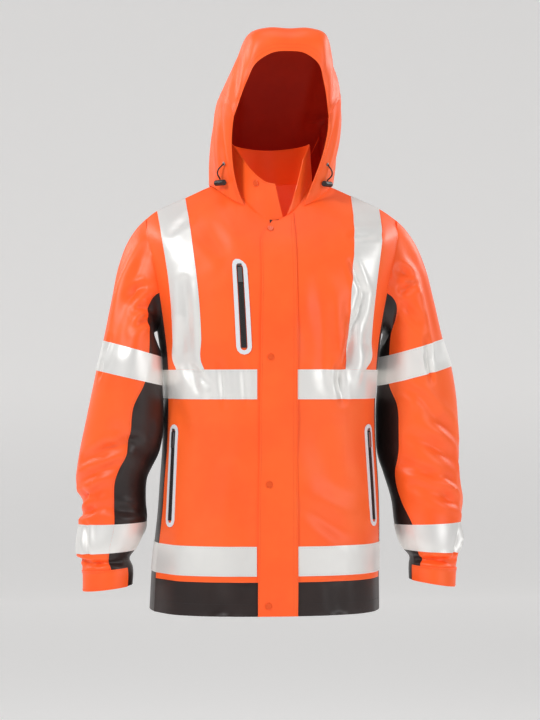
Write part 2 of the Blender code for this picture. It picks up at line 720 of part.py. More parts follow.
PULL_LENGTH = 0.026
PULL_HALF = 0.0035
PULL_THICK = 0.0016
PULL_DROP = 0.014       # pull pivot below the pocket's top


def pull_frame(pocket, lift):
    """Pivot, down direction and outward normal of a zip pull."""
    (point, normal), (below, _) = (pocket_grid(pocket, [[(PULL_DROP + d, 0.0)]])[0][0] for d in (0, 0.02))
    down = (below - point).normalized()
    return point + normal * lift, down, normal


def build_pull(pocket, lift):
    pivot, down, normal = pull_frame(pocket, lift + PULL_THICK / 2)
    across = down.cross(normal)
    work = bmesh.new()
    turn = Matrix((across, down, normal)).transposed().to_4x4()
    spot = Matrix.Translation(pivot + down * PULL_LENGTH / 2) @ turn
    size = Matrix.Diagonal((2 * PULL_HALF, PULL_LENGTH, PULL_THICK, 1.0))
    bmesh.ops.create_cube(work, size=1.0, matrix=spot @ size)
    mesh = bpy.data.meshes.new("pocket_pull_" + pocket["name"])
    work.to_mesh(mesh)
    work.free()
    place("pocket_pull_" + pocket["name"], mesh, "metal")


def build_cord(side, name):
    """A drawcord end out of the hood's side, and the barrel lock on it."""
    eyelet, normal = hood_pair(0.11, side * 81.0)
    lower, lower_normal = hood_pair(0.13, side * 86.5)
    start = eyelet + normal * (CLOTH / 2 + 0.0006)
    lock = lower + lower_normal * 0.0072
    end = lock + Vector((0.0, 0.0, 0.0058))
    bend = (start + end) / 2 + normal * 0.009
    curve = bpy.data.curves.new("hood_cord_" + name, "CURVE")
    curve.dimensions = "3D"
    curve.bevel_depth = 0.00125
    curve.bevel_resolution = 2
    curve.resolution_u = 4
    curve.use_fill_caps = True
    line = curve.splines.new("BEZIER")
    line.bezier_points.add(2)
    for spot, place_at in zip(line.bezier_points, (start, bend, end)):
        spot.co = place_at
        spot.handle_left_type = "AUTO"
        spot.handle_right_type = "AUTO"
    curve.materials.append(material("cord"))
    made = bpy.data.objects.new("hood_cord_" + name, curve)
    bpy.context.scene.collection.objects.link(made)
    work = bmesh.new()
    barrel = lower_normal.cross(Vector((0.0, 0.0, 1.0))).normalized()
    turn = barrel.to_track_quat("Z", "Y").to_matrix().to_4x4()
    bmesh.ops.create_cone(work, cap_ends=True, segments=16, radius1=0.005, radius2=0.005, depth=0.022,
                          matrix=Matrix.Translation(lock) @ turn)
    mesh = bpy.data.meshes.new("cord_lock_" + name)
    work.to_mesh(mesh)
    work.free()
    place("cord_lock_" + name, mesh, "cord")


def main():
    for old in list(bpy.data.objects):
        bpy.data.objects.remove(old, do_unlink=True)
    sleeves, mitres = {}, {}
    for side in (-1, 1):
        rows = sleeve_rows(side)
        normals = tube_normals(rows, side)
        sleeves[side] = (rows, normals)
        loop = armhole_loop(side)
        mitres[side] = [mitre(body_normal(*loop[j]), normals[0][j]) for j in range(16)]
    halves = {}
    for side, name in ((-1, "right"), (1, "left")):
        front = half_panel(side, "front", mitres)
        back = half_panel(side, "back", mitres)
        under = side_grid(side, mitres)
        halves[side] = back
        panel("front_" + name, front, "orange")
        panel("side_" + name, under, "dark", WIDE_SEAM)
        panel("hem_front_" + name, hem_grid("front", side), "dark")
        tape("waist_tape_front_" + name, cut(front, *WAIST_ROWS, left=1))
        tape("hem_tape_front_" + name, cut(front, *HEM_TAPE_ROWS, left=1))
        tape("waist_tape_side_" + name, cut(under, *(row - PANEL_CORNER for row in WAIST_ROWS)))
        tape("hem_tape_side_" + name, cut(under, *(row - PANEL_CORNER for row in HEM_TAPE_ROWS)))
        strip = cut(front, 0, WAIST_ROWS[0], left=5, right=8)
        behind = cut(back, 1, WAIST_ROWS[0], left=5, right=8)
        tape("brace_" + name, list(reversed(behind)) + strip, turned=len(behind) if side > 0 else 0)
        build_sleeve(side, name, *sleeves[side], mitres)
        build_cord(side, name)
    whole = [list(reversed(right)) + left[1:] for right, left in zip(halves[-1], halves[1])]
    panel("back", whole, "orange")
    tape("waist_tape_back", cut(whole, *WAIST_ROWS))
    tape("hem_tape_back", cut(whole, *HEM_TAPE_ROWS))
    hem = [list(reversed(right)) + left[1:] for right, left in
           zip(hem_grid("back", -1), hem_grid("back", 1))]
    panel("hem_back", hem, "dark")
    build_closing()
    build_collar()
    build_hood()
    for pocket in POCKETS:
        build_pocket(pocket)


main()
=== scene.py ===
"""Looks of the hi-vis work jacket: cloth shells with folds, tape, stitches, zips, cords and studio."""
from math import cos, exp, pi, radians, sin
import bmesh
import bpy
import numpy as np
from mathutils import Matrix, Vector


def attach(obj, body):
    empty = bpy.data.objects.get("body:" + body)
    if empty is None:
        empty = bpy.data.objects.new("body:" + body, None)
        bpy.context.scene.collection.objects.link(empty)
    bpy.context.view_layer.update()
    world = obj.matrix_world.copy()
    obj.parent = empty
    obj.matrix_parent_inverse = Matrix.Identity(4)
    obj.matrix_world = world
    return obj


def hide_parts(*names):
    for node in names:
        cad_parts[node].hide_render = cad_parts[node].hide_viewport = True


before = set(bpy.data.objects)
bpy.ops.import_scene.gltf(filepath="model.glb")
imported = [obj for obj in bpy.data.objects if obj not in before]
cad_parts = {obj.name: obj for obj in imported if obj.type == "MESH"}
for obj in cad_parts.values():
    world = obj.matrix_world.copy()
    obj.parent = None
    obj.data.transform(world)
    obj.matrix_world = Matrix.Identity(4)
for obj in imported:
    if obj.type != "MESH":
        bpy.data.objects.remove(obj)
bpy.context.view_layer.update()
ROOT = "jacket"

CLOTH = 0.0013          # wall of a cloth shell
CAD_CLOTH = 0.0015      # wall of the solid that it stands for
GAP = 0.0002
TAPE = 0.0007
FLAP = 0.0018
FINE = 9                # shell squares along one square of the plain grid
FRONT_EDGE = 0.008
FLAP_RIGHT = 0.034
WAIST_TAPE = (0.312, 0.362)
HEM_TAPE = (0.609, 0.659)
HEM_BAND_TOP = 0.669
HEM = 0.726
UNDERARM = 0.300        # first level that is horizontal all round
SHOULDER_SEAM = 86.0    # angle of the seam, a little in front of the side
SHOULDER_TIP = 0.125    # level where the shoulder seam meets the armhole


def table(header, *rows):
    names = header.split()
    return [dict(zip(names, row)) for row in rows]


# Loops round the body. level counts down from the neckline and equals -z from the underarm on.
BODY = table(
    "level  z_front z_side z_back half_width front_depth back_depth square centre_x",
    (0.000, -0.058, 0.018, 0.012, 0.0720, 0.082, 0.062, 0.00, 0.000),
    (0.035, -0.086, 0.003, -0.014, 0.1080, 0.104, 0.084, 0.01, 0.001),
    (0.070, -0.114, -0.015, -0.042, 0.1480, 0.121, 0.103, 0.02, 0.002),
    (0.105, -0.141, -0.036, -0.071, 0.1940, 0.133, 0.116, 0.03, 0.002),
    (0.125, -0.156, -0.053, -0.090, 0.2180, 0.137, 0.122, 0.035, 0.002),
    (0.160, -0.184, -0.100, -0.128, 0.2190, 0.141, 0.129, 0.045, 0.001),
    (0.205, -0.219, -0.172, -0.184, 0.2080, 0.144, 0.133, 0.05, 0.000),
    (0.255, -0.260, -0.245, -0.248, 0.1945, 0.145, 0.133, 0.05, -0.001),
    (0.300, -0.300, -0.300, -0.300, 0.1875, 0.144, 0.131, 0.05, -0.001),
    (0.360, -0.360, -0.360, -0.360, 0.1838, 0.142, 0.128, 0.05, -0.002),
    (0.430, -0.430, -0.430, -0.430, 0.1840, 0.141, 0.127, 0.045, -0.002),
    (0.500, -0.500, -0.500, -0.500, 0.1885, 0.143, 0.129, 0.045, -0.002),
    (0.570, -0.570, -0.570, -0.570, 0.1925, 0.146, 0.131, 0.04, -0.003),
    (0.650, -0.650, -0.650, -0.650, 0.1965, 0.148, 0.134, 0.04, -0.008),
    (0.730, -0.730, -0.730, -0.730, 0.1990, 0.150, 0.136, 0.04, -0.010),
)

# Armhole, from the shoulder tip by the corner of the side panel to its lowest point.
ARMHOLE = table(
    "level  front back",
    (0.125, 86.0, 86.0),
    (0.145, 75.0, 103.0),
    (0.165, 68.0, 110.0),
    (0.185, 65.0, 114.0),
    (0.205, 64.5, 115.5),
    (0.226, 66.5, 113.5),
    (0.243, 72.0, 108.0),
    (0.252, 80.0, 100.0),
    (0.255, 90.0, 90.0),
)
PANEL_CORNER = 4        # armhole row where the side panel starts

# Side panel seams below the armhole.
SIDE_SEAMS = table(
    "level  front back",
    (0.205, 64.5, 115.5),
    (0.300, 68.0, 112.0),
    (0.400, 71.0, 109.0),
    (0.550, 73.0, 108.0),
    (0.730, 73.0, 108.0),
)

# Braces: levels of their edges on the shoulder seam, then their distance from the middle.
BRACES = table(
    "side level_in level_out chest_in chest_out waist_in waist_out",
    (-1, 0.0715, 0.1085, 0.126, 0.170, 0.121, 0.165),
    (1, 0.0620, 0.1000, 0.122, 0.163, 0.118, 0.155),
)

# Sleeve sections below the armhole: outer and inner edge as seen from the front, and the depth.
SLEEVE_HEADER = "name outer_x outer_z inner_x inner_z half_depth centre_y front_seam back_seam"
SLEEVES = {
    -1: table(
        SLEEVE_HEADER,
        ("upper_tape_top", 0.2890, -0.263, 0.1908, -0.291, 0.076, -0.034, 122, 240),
        ("upper_tape_end", 0.3010, -0.314, 0.1895, -0.340, 0.075, -0.038, 116, 242),
        ("upper_arm", 0.3115, -0.364, 0.1870, -0.385, 0.073, -0.036, 98, 245),
        ("above_elbow", 0.3210, -0.410, 0.1880, -0.423, 0.071, -0.028, 98, 245),
        ("elbow", 0.3300, -0.455, 0.1960, -0.458, 0.068, -0.016, 99, 246),
        ("below_elbow", 0.3350, -0.500, 0.2140, -0.497, 0.065, -0.010, 94, 248),
        ("elbow_fold", 0.3260, -0.548, 0.2165, -0.543, 0.063, -0.006, 89, 250),
        ("lower_tape_top", 0.3305, -0.578, 0.2155, -0.573, 0.062, -0.010, 91, 196),
        ("lower_tape_end", 0.3340, -0.628, 0.2345, -0.621, 0.056, -0.016, 94, 200),
        ("gather", 0.3265, -0.643, 0.2450, -0.637, 0.047, -0.020, 96, 200),
        ("cuff_top", 0.3235, -0.656, 0.2400, -0.650, 0.047, -0.023, 96, 200),
        ("cuff_end", 0.3225, -0.692, 0.2400, -0.681, 0.046, -0.027, 96, 200),
    ),
    1: table(
        SLEEVE_HEADER,
        ("upper_tape_top", 0.3030, -0.258, 0.1925, -0.291, 0.076, 0.008, 142, 250),
        ("upper_tape_end", 0.3190, -0.306, 0.1905, -0.341, 0.075, 0.011, 142, 252),
        ("upper_arm", 0.3275, -0.354, 0.1880, -0.380, 0.073, 0.013, 126, 254),
        ("above_elbow", 0.3315, -0.402, 0.1880, -0.420, 0.071, 0.013, 124, 255),
        ("elbow", 0.3320, -0.450, 0.1900, -0.458, 0.068, 0.010, 126, 255),
        ("below_elbow", 0.3325, -0.498, 0.2010, -0.496, 0.065, 0.005, 142, 256),
        ("elbow_fold", 0.3375, -0.548, 0.2140, -0.542, 0.063, 0.000, 143, 258),
        ("lower_tape_top", 0.3330, -0.577, 0.2185, -0.581, 0.062, -0.006, 126, 250),
        ("lower_tape_end", 0.3280, -0.630, 0.2325, -0.624, 0.056, -0.014, 128, 250),
        ("gather", 0.3240, -0.644, 0.2430, -0.638, 0.047, -0.018, 130, 250),
        ("cuff_top", 0.3215, -0.656, 0.2415, -0.650, 0.047, -0.021, 130, 250),
        ("cuff_end", 0.3185, -0.689, 0.2410, -0.676, 0.046, -0.026, 130, 250),
    ),
}
SLEEVE_STEPS = (0.0, 0.08, 0.22, 0.42, 0.68)     # rows between armhole and first section

# Hood arches from the face edge to the nape: foot on the neck, crown point and half width.
HOOD = table(
    "along foot_level foot_angle crown_y crown_z half_width",
    (0.00, 0.008, 39.0, -0.104, 0.228, 0.091),
    (0.08, 0.019, 51.0, -0.097, 0.256, 0.099),
    (0.20, 0.027, 67.0, -0.072, 0.270, 0.109),
    (0.38, 0.033, 88.0, -0.015, 0.274, 0.113),
    (0.56, 0.032, 108.0, 0.050, 0.256, 0.110),
    (0.72, 0.028, 126.0, 0.098, 0.210, 0.101),
    (0.86, 0.022, 142.0, 0.118, 0.130, 0.085),
    (1.00, 0.018, 156.0, 0.089, 0.000, 0.048),
)
HOOD_SQUARE = 0.068
HOOD_SLOPE = 0.095      # share of the half width taken off between crown and side
HOOD_FLAT = 0.050       # share of the height added beside the crown
HOOD_LEAN = 0.100       # sideways shift for each metre of height
HOOD_LIFT = 0.0027      # foot of the hood above the shoulders
HOOD_SEAM = 62.0        # angle on the arch where the middle panel starts

COLLAR = table(
    "height half_width front_depth back_depth",
    (0.000, 0.0720, 0.082, 0.062),
    (0.030, 0.0690, 0.086, 0.060),
    (0.062, 0.0675, 0.092, 0.059),
)
COLLAR_LEFT = (16.0, 50.0)   # angle of the left front end, foot and top
COLLAR_RIGHT = (13.0, 1.0)   # angle of the right front end, which crosses the middle

# Pockets on the fronts: middle line from its top to its bottom.
POCKETS = table(
    "name       top_x   top_z  end_x   end_z",
    ("chest", -0.0635, -0.127, -0.0555, -0.287),
    ("hand_right", -0.1690, -0.405, -0.1770, -0.580),
    ("hand_left", 0.1590, -0.405, 0.1700, -0.580),
)


def read(rows, key, column, at):
    """A cubic through one column of a table, with slopes from the neighbouring rows."""
    xs = [row[key] for row in rows]
    ys = [row[column] for row in rows]
    last = len(xs) - 1
    at = min(max(at, xs[0]), xs[last])
    i = max(k for k in range(last) if xs[k] <= at) if at > xs[0] else 0
    span = xs[i + 1] - xs[i]

    def slope(k):
        low, high = max(k - 1, 0), min(k + 1, last)
        return (ys[high] - ys[low]) / (xs[high] - xs[low]) * span

    t = (at - xs[i]) / span
    ease = t * t * (3 - 2 * t)
    rise = t * (1 - t) * ((1 - t) * slope(i) - t * slope(i + 1))
    return ys[i] + (ys[i + 1] - ys[i]) * ease + rise


def body_point(level, angle):
    """Point of the body: angle 0 is the middle of the front, 90 the wearer's left, 180 the back."""
    row = {name: read(BODY, "level", name, level) for name in BODY[0] if name != "level"}
    c, s, k = cos(radians(angle)), sin(radians(angle)), row["square"]
    depth = row["front_depth"] if c > 0 else row["back_depth"]
    end = row["z_front"] if c > 0 else row["z_back"]
    x = row["half_width"] * (s + k * sin(radians(3 * angle))) / (1 - k)
    y = -depth * (c - k * cos(radians(3 * angle))) / (1 - k)
    z = row["z_side"] + (end - row["z_side"]) * c * c
    return Vector((row["centre_x"] + x, y, z))


def normal_of(surface, u, v, du, dv):
    """Outward normal of a surface by small steps, where u leads down and v round by the left."""
    down = surface(u + du, v) - surface(u - du, v)
    around = surface(u, v + dv) - surface(u, v - dv)
    return down.cross(around).normalized()


def body_normal(level, angle):
    return normal_of(body_point, max(level, 0.002), angle, 0.002, 1.0)


def angle_at(level, x, back=False):
    """Angle of the point of a level that has the given x."""
    low, high = (90.0, 180.0) if back else (0.0, 90.0)
    if x < 0:
        low, high = -low, -high
    for _ in range(30):
        middle = (low + high) / 2
        further_out = abs(body_point(level, middle).x) > abs(x)
        if further_out != back:
            high = middle
        else:
            low = middle
    return (low + high) / 2


def body_spot(x, z):
    """Level and angle of the point of the front that has the given x and z."""
    level = -z
    for _ in range(25):
        angle = angle_at(level, x)
        level += body_point(level, angle).z - z
    return level, angle


# Rows of the body panels: those beside the armhole, then the horizontal ones.
SIDE_ROWS = [row["level"] for row in ARMHOLE[:PANEL_CORNER + 1]] + [0.237, 0.269, UNDERARM]
LOW_ROWS = [WAIST_TAPE[0], WAIST_TAPE[1], 0.400, 0.450, 0.500, 0.555, HEM_TAPE[0], HEM_TAPE[1],
            HEM_BAND_TOP]
HEM_ROWS = [HEM_BAND_TOP, 0.699, HEM]
UNDERARM_ROW = len(SIDE_ROWS) - 1
WAIST_ROWS = (UNDERARM_ROW + 1, UNDERARM_ROW + 2)
HEM_TAPE_ROWS = (UNDERARM_ROW + 7, UNDERARM_ROW + 8)


def seam_angle(level, face):
    """Angle of the outer edge of a front or back panel at a level."""
    if level <= ARMHOLE[PANEL_CORNER]["level"]:
        return read(ARMHOLE, "level", face, level)
    return read(SIDE_SEAMS, "level", face, level)


def panel_columns(side, face):
    """Columns from the middle to the armhole: (level, x) on the top edge and x at three levels below."""
    brace = next(row for row in BRACES if row["side"] == side)
    back = face == "back"
    middle = 0.0 if back else FRONT_EDGE
    side_x = {level: abs(body_point(level, side * seam_angle(level, face)).x)
              for level in (UNDERARM, WAIST_TAPE[0], HEM)}

    def neck(angle):
        return abs(body_point(0.0, 180 - angle if back else angle).x)

    def shoulder(level):
        return abs(body_point(level, side * SHOULDER_SEAM).x)

    columns = [
        (0.0, middle, middle, middle, middle),
        (0.0, 0.034, 0.034, 0.034, 0.035),
        (0.0, neck(52.0), 0.064, 0.062, 0.064),
        (0.0, neck(76.0), 0.095, 0.092, 0.094),
        (0.032, shoulder(0.032), 0.110, 0.107, 0.110),
        (brace["level_in"], shoulder(brace["level_in"]), brace["chest_in"], brace["waist_in"], 0.124),
    ]
    middle_level = (brace["level_in"] + brace["level_out"]) / 2
    columns.append((middle_level, shoulder(middle_level),
                    brace["chest_in"] + (brace["chest_out"] - brace["chest_in"]) * 0.5,
                    brace["waist_in"] + (brace["waist_out"] - brace["waist_in"]) * 0.5, 0.147))
    columns.append((brace["level_out"], shoulder(brace["level_out"]), brace["chest_out"],
                    brace["waist_out"], 0.168))
    columns.append((SHOULDER_TIP, None, side_x[UNDERARM], side_x[WAIST_TAPE[0]], side_x[HEM]))
    return columns


def body_pair(level, angle):
    return body_point(level, angle), body_normal(level, angle)


def half_panel(side, face, mitres):
    """Grid of half a front or back, as a list of rows from the middle out to the armhole."""
    back = face == "back"
    columns = panel_columns(side, face)
    last = len(columns) - 1
    grid = []
    for r, row_level in enumerate(SIDE_ROWS + LOW_ROWS):
        row = []
        for c, (top_level, top_x, under_x, waist_x, hem_x) in enumerate(columns):
            if c == last:
                angle = side * seam_angle(row_level, face)
                pair = body_pair(row_level, angle)
                if r <= PANEL_CORNER:
                    pair = (pair[0], mitres[side][r if not back else -r])
            elif r == 0:
                if top_level > 0:
                    pair = body_pair(top_level, side * SHOULDER_SEAM)
                else:
                    angle = angle_at(0.0, side * top_x, back) if top_x else 180.0
                    pair = (body_point(0.0, angle), neck_mitre(angle))
            else:
                if r <= UNDERARM_ROW:
                    part = (row_level - SHOULDER_TIP) / (UNDERARM - SHOULDER_TIP)
                    level = top_level + (UNDERARM - top_level) * part
                    ease = part * (2 - part)
                    x = top_x + (under_x - top_x) * ease
                else:
                    level = row_level
                    part = min((level - UNDERARM) / (WAIST_TAPE[0] - UNDERARM), 1.0)
                    x = under_x + (waist_x - under_x) * part
                    if level > WAIST_TAPE[1]:
                        x += (hem_x - waist_x) * (level - WAIST_TAPE[1]) / (HEM - WAIST_TAPE[1])
                angle = angle_at(level, side * x, back) if x else 180.0
                pair = body_pair(level, angle)
            row.append(pair)
        grid.append(row)
    return grid


def hem_grid(face, side):
    """Grid of the hem band below a half panel, on the same columns."""
    back = face == "back"
    columns = panel_columns(side, face)
    grid = []
    for level in HEM_ROWS:
        row = []
        for c, (_, _, _, waist_x, hem_x) in enumerate(columns):
            if c == len(columns) - 1:
                angle = side * seam_angle(level, face)
            else:
                x = waist_x + (hem_x - waist_x) * (level - WAIST_TAPE[1]) / (HEM - WAIST_TAPE[1])
                angle = angle_at(level, side * x, back) if x else 180.0
            row.append(body_pair(level, angle))
        grid.append(row)
    return grid


def side_grid(side, mitres):
    """Grid of a side panel, from its front seam round to its back seam."""
    edge = [(row["level"], side * row["front"]) for row in ARMHOLE[PANEL_CORNER:]]
    edge += [(row["level"], side * row["back"]) for row in reversed(ARMHOLE[PANEL_CORNER:-1])]
    rows = SIDE_ROWS[PANEL_CORNER:] + LOW_ROWS + HEM_ROWS[1:]
    start = SIDE_ROWS[PANEL_CORNER]
    grid = []
    for r, row_level in enumerate(rows):
        row = []
        front = side * read(SIDE_SEAMS, "level", "front", row_level)
        back = side * read(SIDE_SEAMS, "level", "back", row_level)
        for c, (top_level, top_angle) in enumerate(edge):
            share = c / (len(edge) - 1)
            if c in (0, len(edge) - 1):
                level, angle = row_level, front if c == 0 else back
            elif row_level < UNDERARM:
                part = (row_level - start) / (UNDERARM - start)
                low_front = side * read(SIDE_SEAMS, "level", "front", UNDERARM)
                low_back = side * read(SIDE_SEAMS, "level", "back", UNDERARM)
                level = top_level + (UNDERARM - top_level) * part
                angle = top_angle + (low_front + (low_back - low_front) * share - top_angle) * part
            else:
                level, angle = row_level, front + (back - front) * share
            pair = body_pair(level, angle)
            if r == 0:
                pair = (pair[0], mitres[side][PANEL_CORNER + c])
            row.append(pair)
        grid.append(row)
    return grid


def mitre(first, second):
    """Vector that both walls of a seam share, long enough to keep their thickness."""
    return (first + second) / max(1 + first.dot(second), 0.6)


def armhole_loop(side):
    """Level and angle of the sixteen armhole points: down the front from the tip, up the back."""
    front = [(row["level"], side * row["front"]) for row in ARMHOLE]
    back = [(row["level"], side * row["back"]) for row in reversed(ARMHOLE[1:-1])]
    return front + back


def sleeve_ring(side, section):
    """The sixteen points of a sleeve section, from its outer edge round by the front."""
    outer = Vector((side * section["outer_x"], section["centre_y"], section["outer_z"]))
    inner = Vector((side * section["inner_x"], section["centre_y"], section["inner_z"]))
    centre, out = (outer + inner) / 2, (outer - inner) / 2
    forward = Vector((0.0, -section["half_depth"], 0.0))
    corners = (0.0, section["front_seam"], 180.0, section["back_seam"], 360.0)
    ring = []
    for j in range(16):
        quarter, step = divmod(j, 4)
        angle = corners[quarter] + (corners[quarter + 1] - corners[quarter]) * step / 4
        ring.append(centre + out * cos(radians(angle)) + forward * sin(radians(angle)))
    return ring


def sleeve_rows(side):
    """Every ring of a sleeve, from the armhole to the cuff end."""
    sections = SLEEVES[side]
    start = [body_point(level, angle) for level, angle in armhole_loop(side)]
    first = sleeve_ring(side, sections[0])
    rows = []
    for t in SLEEVE_STEPS:
        ring = []
        for j in range(16):
            low = (1 - cos(2 * pi * j / 16)) / 2
            span = (first[j] - start[j]).length
            tilt = radians(40.0 - 22.0 * low)
            leave = Vector((side * cos(tilt), 0.0, -sin(tilt))) * span * (1.0 + 0.5 * low)
            arrive = Vector((side * 0.27, 0.0, -0.96)) * span
            a = 2 * t ** 3 - 3 * t ** 2 + 1
            point = start[j] * a + leave * (t ** 3 - 2 * t ** 2 + t)
            point += first[j] * (1 - a) + arrive * (t ** 3 - t ** 2)
            ring.append(point)
        rows.append(ring)
    return rows + [sleeve_ring(side, section) for section in sections]


def tube_normals(rows, side):
    """Outward normals of a tube whose rings run from the outside round by the front."""
    count = len(rows[0])
    normals = []
    for r in range(len(rows)):
        up, down = rows[max(r - 1, 0)], rows[min(r + 1, len(rows) - 1)]
        ring = []
        for j in range(count):
            along = down[j] - up[j]
            around = rows[r][(j + 1) % count] - rows[r][j - 1]
            ring.append(along.cross(around).normalized() * -side)
        normals.append(ring)
    return normals


def neck_mitre(angle):
    flat = Vector((sin(radians(angle)), -cos(radians(angle)), 0.0))
    return mitre(body_normal(0.0, angle), flat)


def flap_left(level):
    """Free edge of the storm flap: its upper corner is cut away."""
    corner = max(0.0, (0.050 - level) / 0.038)
    return -0.0245 - 0.0125 * level + 0.0155 * corner ** 1.5


def collar_point(height, angle):
    row = {name: read(COLLAR, "height", name, height) for name in COLLAR[0] if name != "height"}
    c, s = cos(radians(angle)), sin(radians(angle))
    depth = row["front_depth"] if c > 0 else row["back_depth"]
    foot = body_point(0.0, angle)
    return Vector((row["half_width"] * s, -depth * c, foot.z + height))


def collar_grid():
    """Grid of the collar, from its left front end round the neck to its right one."""
    grid = []
    for height in (0.0, 0.016, 0.032, 0.048, 0.062):
        share = height / 0.062
        start = COLLAR_LEFT[0] + (COLLAR_LEFT[1] - COLLAR_LEFT[0]) * share
        end = 360 + COLLAR_RIGHT[0] + (COLLAR_RIGHT[1] - COLLAR_RIGHT[0]) * share
        row = []
        for c in range(25):
            angle = start + (end - start) * c / 24
            vector = -normal_of(collar_point, max(height, 0.002), angle, 0.002, 1.0)
            row.append((collar_point(height, angle), neck_mitre(angle) if height == 0 else vector))
        grid.append(row)
    return grid


def hood_point(along, turn):
    """Point of an arch of the hood: turn -90 is its right foot, 0 the crown and 90 its left foot."""
    row = {name: read(HOOD, "along", name, along) for name in HOOD[0] if name != "along"}
    side = -1 if turn < 0 else 1
    foot_level, foot_angle = row["foot_level"], side * row["foot_angle"]
    foot = body_point(foot_level, foot_angle) + body_normal(foot_level, foot_angle) * HOOD_LIFT
    k, angle = HOOD_SQUARE, abs(turn)
    out = (sin(radians(angle)) + k * sin(radians(3 * angle))) / (1 - k)
    up = (cos(radians(angle)) - k * cos(radians(3 * angle))) / (1 - k)
    out -= HOOD_SLOPE * exp(-((angle - 42) / 14) ** 2)
    up += HOOD_FLAT * exp(-((angle - 26) / 11) ** 2) * min(along / 0.08, 1.0)
    x = row["half_width"] * out - (row["half_width"] - abs(foot.x)) * (1 - up) ** 3
    y = foot.y + (row["crown_y"] - foot.y) * up
    z = foot.z + (row["crown_z"] - foot.z) * up
    return Vector((side * x + HOOD_LEAN * max(z, 0.0), y, z))


def hood_pair(along, turn):
    low, high = max(along - 0.01, 0.0), min(along + 0.01, 1.0)
    back = hood_point(high, turn) - hood_point(low, turn)
    step = 1.0 if abs(turn) < 89 else 0.5
    start, end = max(turn - step, -90.0), min(turn + step, 90.0)
    around = hood_point(along, end) - hood_point(along, start)
    return hood_point(along, turn), around.cross(back).normalized()


HOOD_ROWS = (0.0, 0.06, 0.14, 0.25, 0.38, 0.5, 0.62, 0.74, 0.86, 1.0)
HOOD_PARTS = (
    ("hood_right", (-90, -86, -82, -78, -74, -70, -66, -HOOD_SEAM)),
    ("hood_centre", (-HOOD_SEAM, -45, -30, -15, 0, 15, 30, 45, HOOD_SEAM)),
    ("hood_left", (HOOD_SEAM, 66, 70, 74, 78, 82, 86, 90)),
)


# ---- materials ----------------------------------------------------------------------------------

def shader_of(name):
    made = bpy.data.materials.new(name)
    made.use_nodes = True
    return made, made.node_tree.nodes, made.node_tree.links, made.node_tree.nodes["Principled BSDF"]


def add(nodes, kind, **inputs):
    node = nodes.new(kind)
    for key, value in inputs.items():
        node.inputs[key.replace("_", " ")].default_value = value
    return node


def cloth_material(name, colour, shade, roughness, sheen, weave, glow=0.0, metallic=0.0):
    """Coated cloth: a slight blotch in the colour, a fine grain and a soft sheen."""
    made, nodes, links, shader = shader_of(name)
    place = nodes.new("ShaderNodeTexCoord")
    blotch = add(nodes, "ShaderNodeTexNoise", Scale=9.0, Detail=4.0, Roughness=0.55)
    mix = nodes.new("ShaderNodeMix")
    mix.data_type = "RGBA"
    mix.inputs["A"].default_value = (*shade, 1.0)
    mix.inputs["B"].default_value = (*colour, 1.0)
    spread = nodes.new("ShaderNodeMapRange")
    spread.inputs["From Min"].default_value = 0.3
    spread.inputs["From Max"].default_value = 0.6
    links.new(place.outputs["Object"], blotch.inputs["Vector"])
    links.new(blotch.outputs["Fac"], spread.inputs["Value"])
    links.new(spread.outputs["Result"], mix.inputs["Factor"])
    links.new(mix.outputs["Result"], shader.inputs["Base Color"])
    grain = add(nodes, "ShaderNodeTexNoise", Scale=900.0, Detail=2.0)
    wave = add(nodes, "ShaderNodeTexNoise", Scale=55.0, Detail=3.0)
    bump = add(nodes, "ShaderNodeBump", Strength=weave, Distance=0.0004)
    soft = add(nodes, "ShaderNodeBump", Strength=0.12, Distance=0.002)
    for texture in (grain, wave):
        links.new(place.outputs["Object"], texture.inputs["Vector"])
    links.new(grain.outputs["Fac"], bump.inputs["Height"])
    links.new(wave.outputs["Fac"], soft.inputs["Height"])
    links.new(soft.outputs["Normal"], bump.inputs["Normal"])
    links.new(bump.outputs["Normal"], shader.inputs["Normal"])
    shader.inputs["Roughness"].default_value = roughness
    shader.inputs["Sheen Weight"].default_value = sheen
    shader.inputs["Metallic"].default_value = metallic
    shader.inputs["Sheen Roughness"].default_value = 0.4
    # Emission in the cloth's own colour is painted light: the cloth glows, though it is no lamp.
    if glow:
        links.new(mix.outputs["Result"], shader.inputs["Emission Color"])
        shader.inputs["Emission Strength"].default_value = glow
    return made


def plain_material(name, colour, roughness, metallic=0.0, glow=0.0):
    made, _, _, shader = shader_of(name)
    shader.inputs["Base Color"].default_value = (*colour, 1.0)
    shader.inputs["Roughness"].default_value = roughness
    shader.inputs["Metallic"].default_value = metallic
    # Emission in its own colour: for the floor an even bright backdrop, for the pocket frame film painted
    # light.
    if glow:
        shader.inputs["Emission Color"].default_value = (*colour, 1.0)
        shader.inputs["Emission Strength"].default_value = glow
    return made


# The orange cloth glows a little: painted light that keeps its shaded sides bright and saturated.
ORANGE = cloth_material("orange_cloth", (1.0, 0.128, 0.016), (1.0, 0.105, 0.012), 0.46, 0.10, 0.25, 0.13)
DARK = cloth_material("dark_cloth", (0.026, 0.013, 0.011), (0.015, 0.008, 0.007), 0.42, 0.10, 0.3)
# The tape glows a little: painted light standing in for the bright shine of reflective tape.
TAPE_CLOTH = cloth_material("reflective_tape", (0.86, 0.85, 0.82), (0.80, 0.79, 0.77),
                            0.42, 0.0, 0.15, 0.10, 0.38)
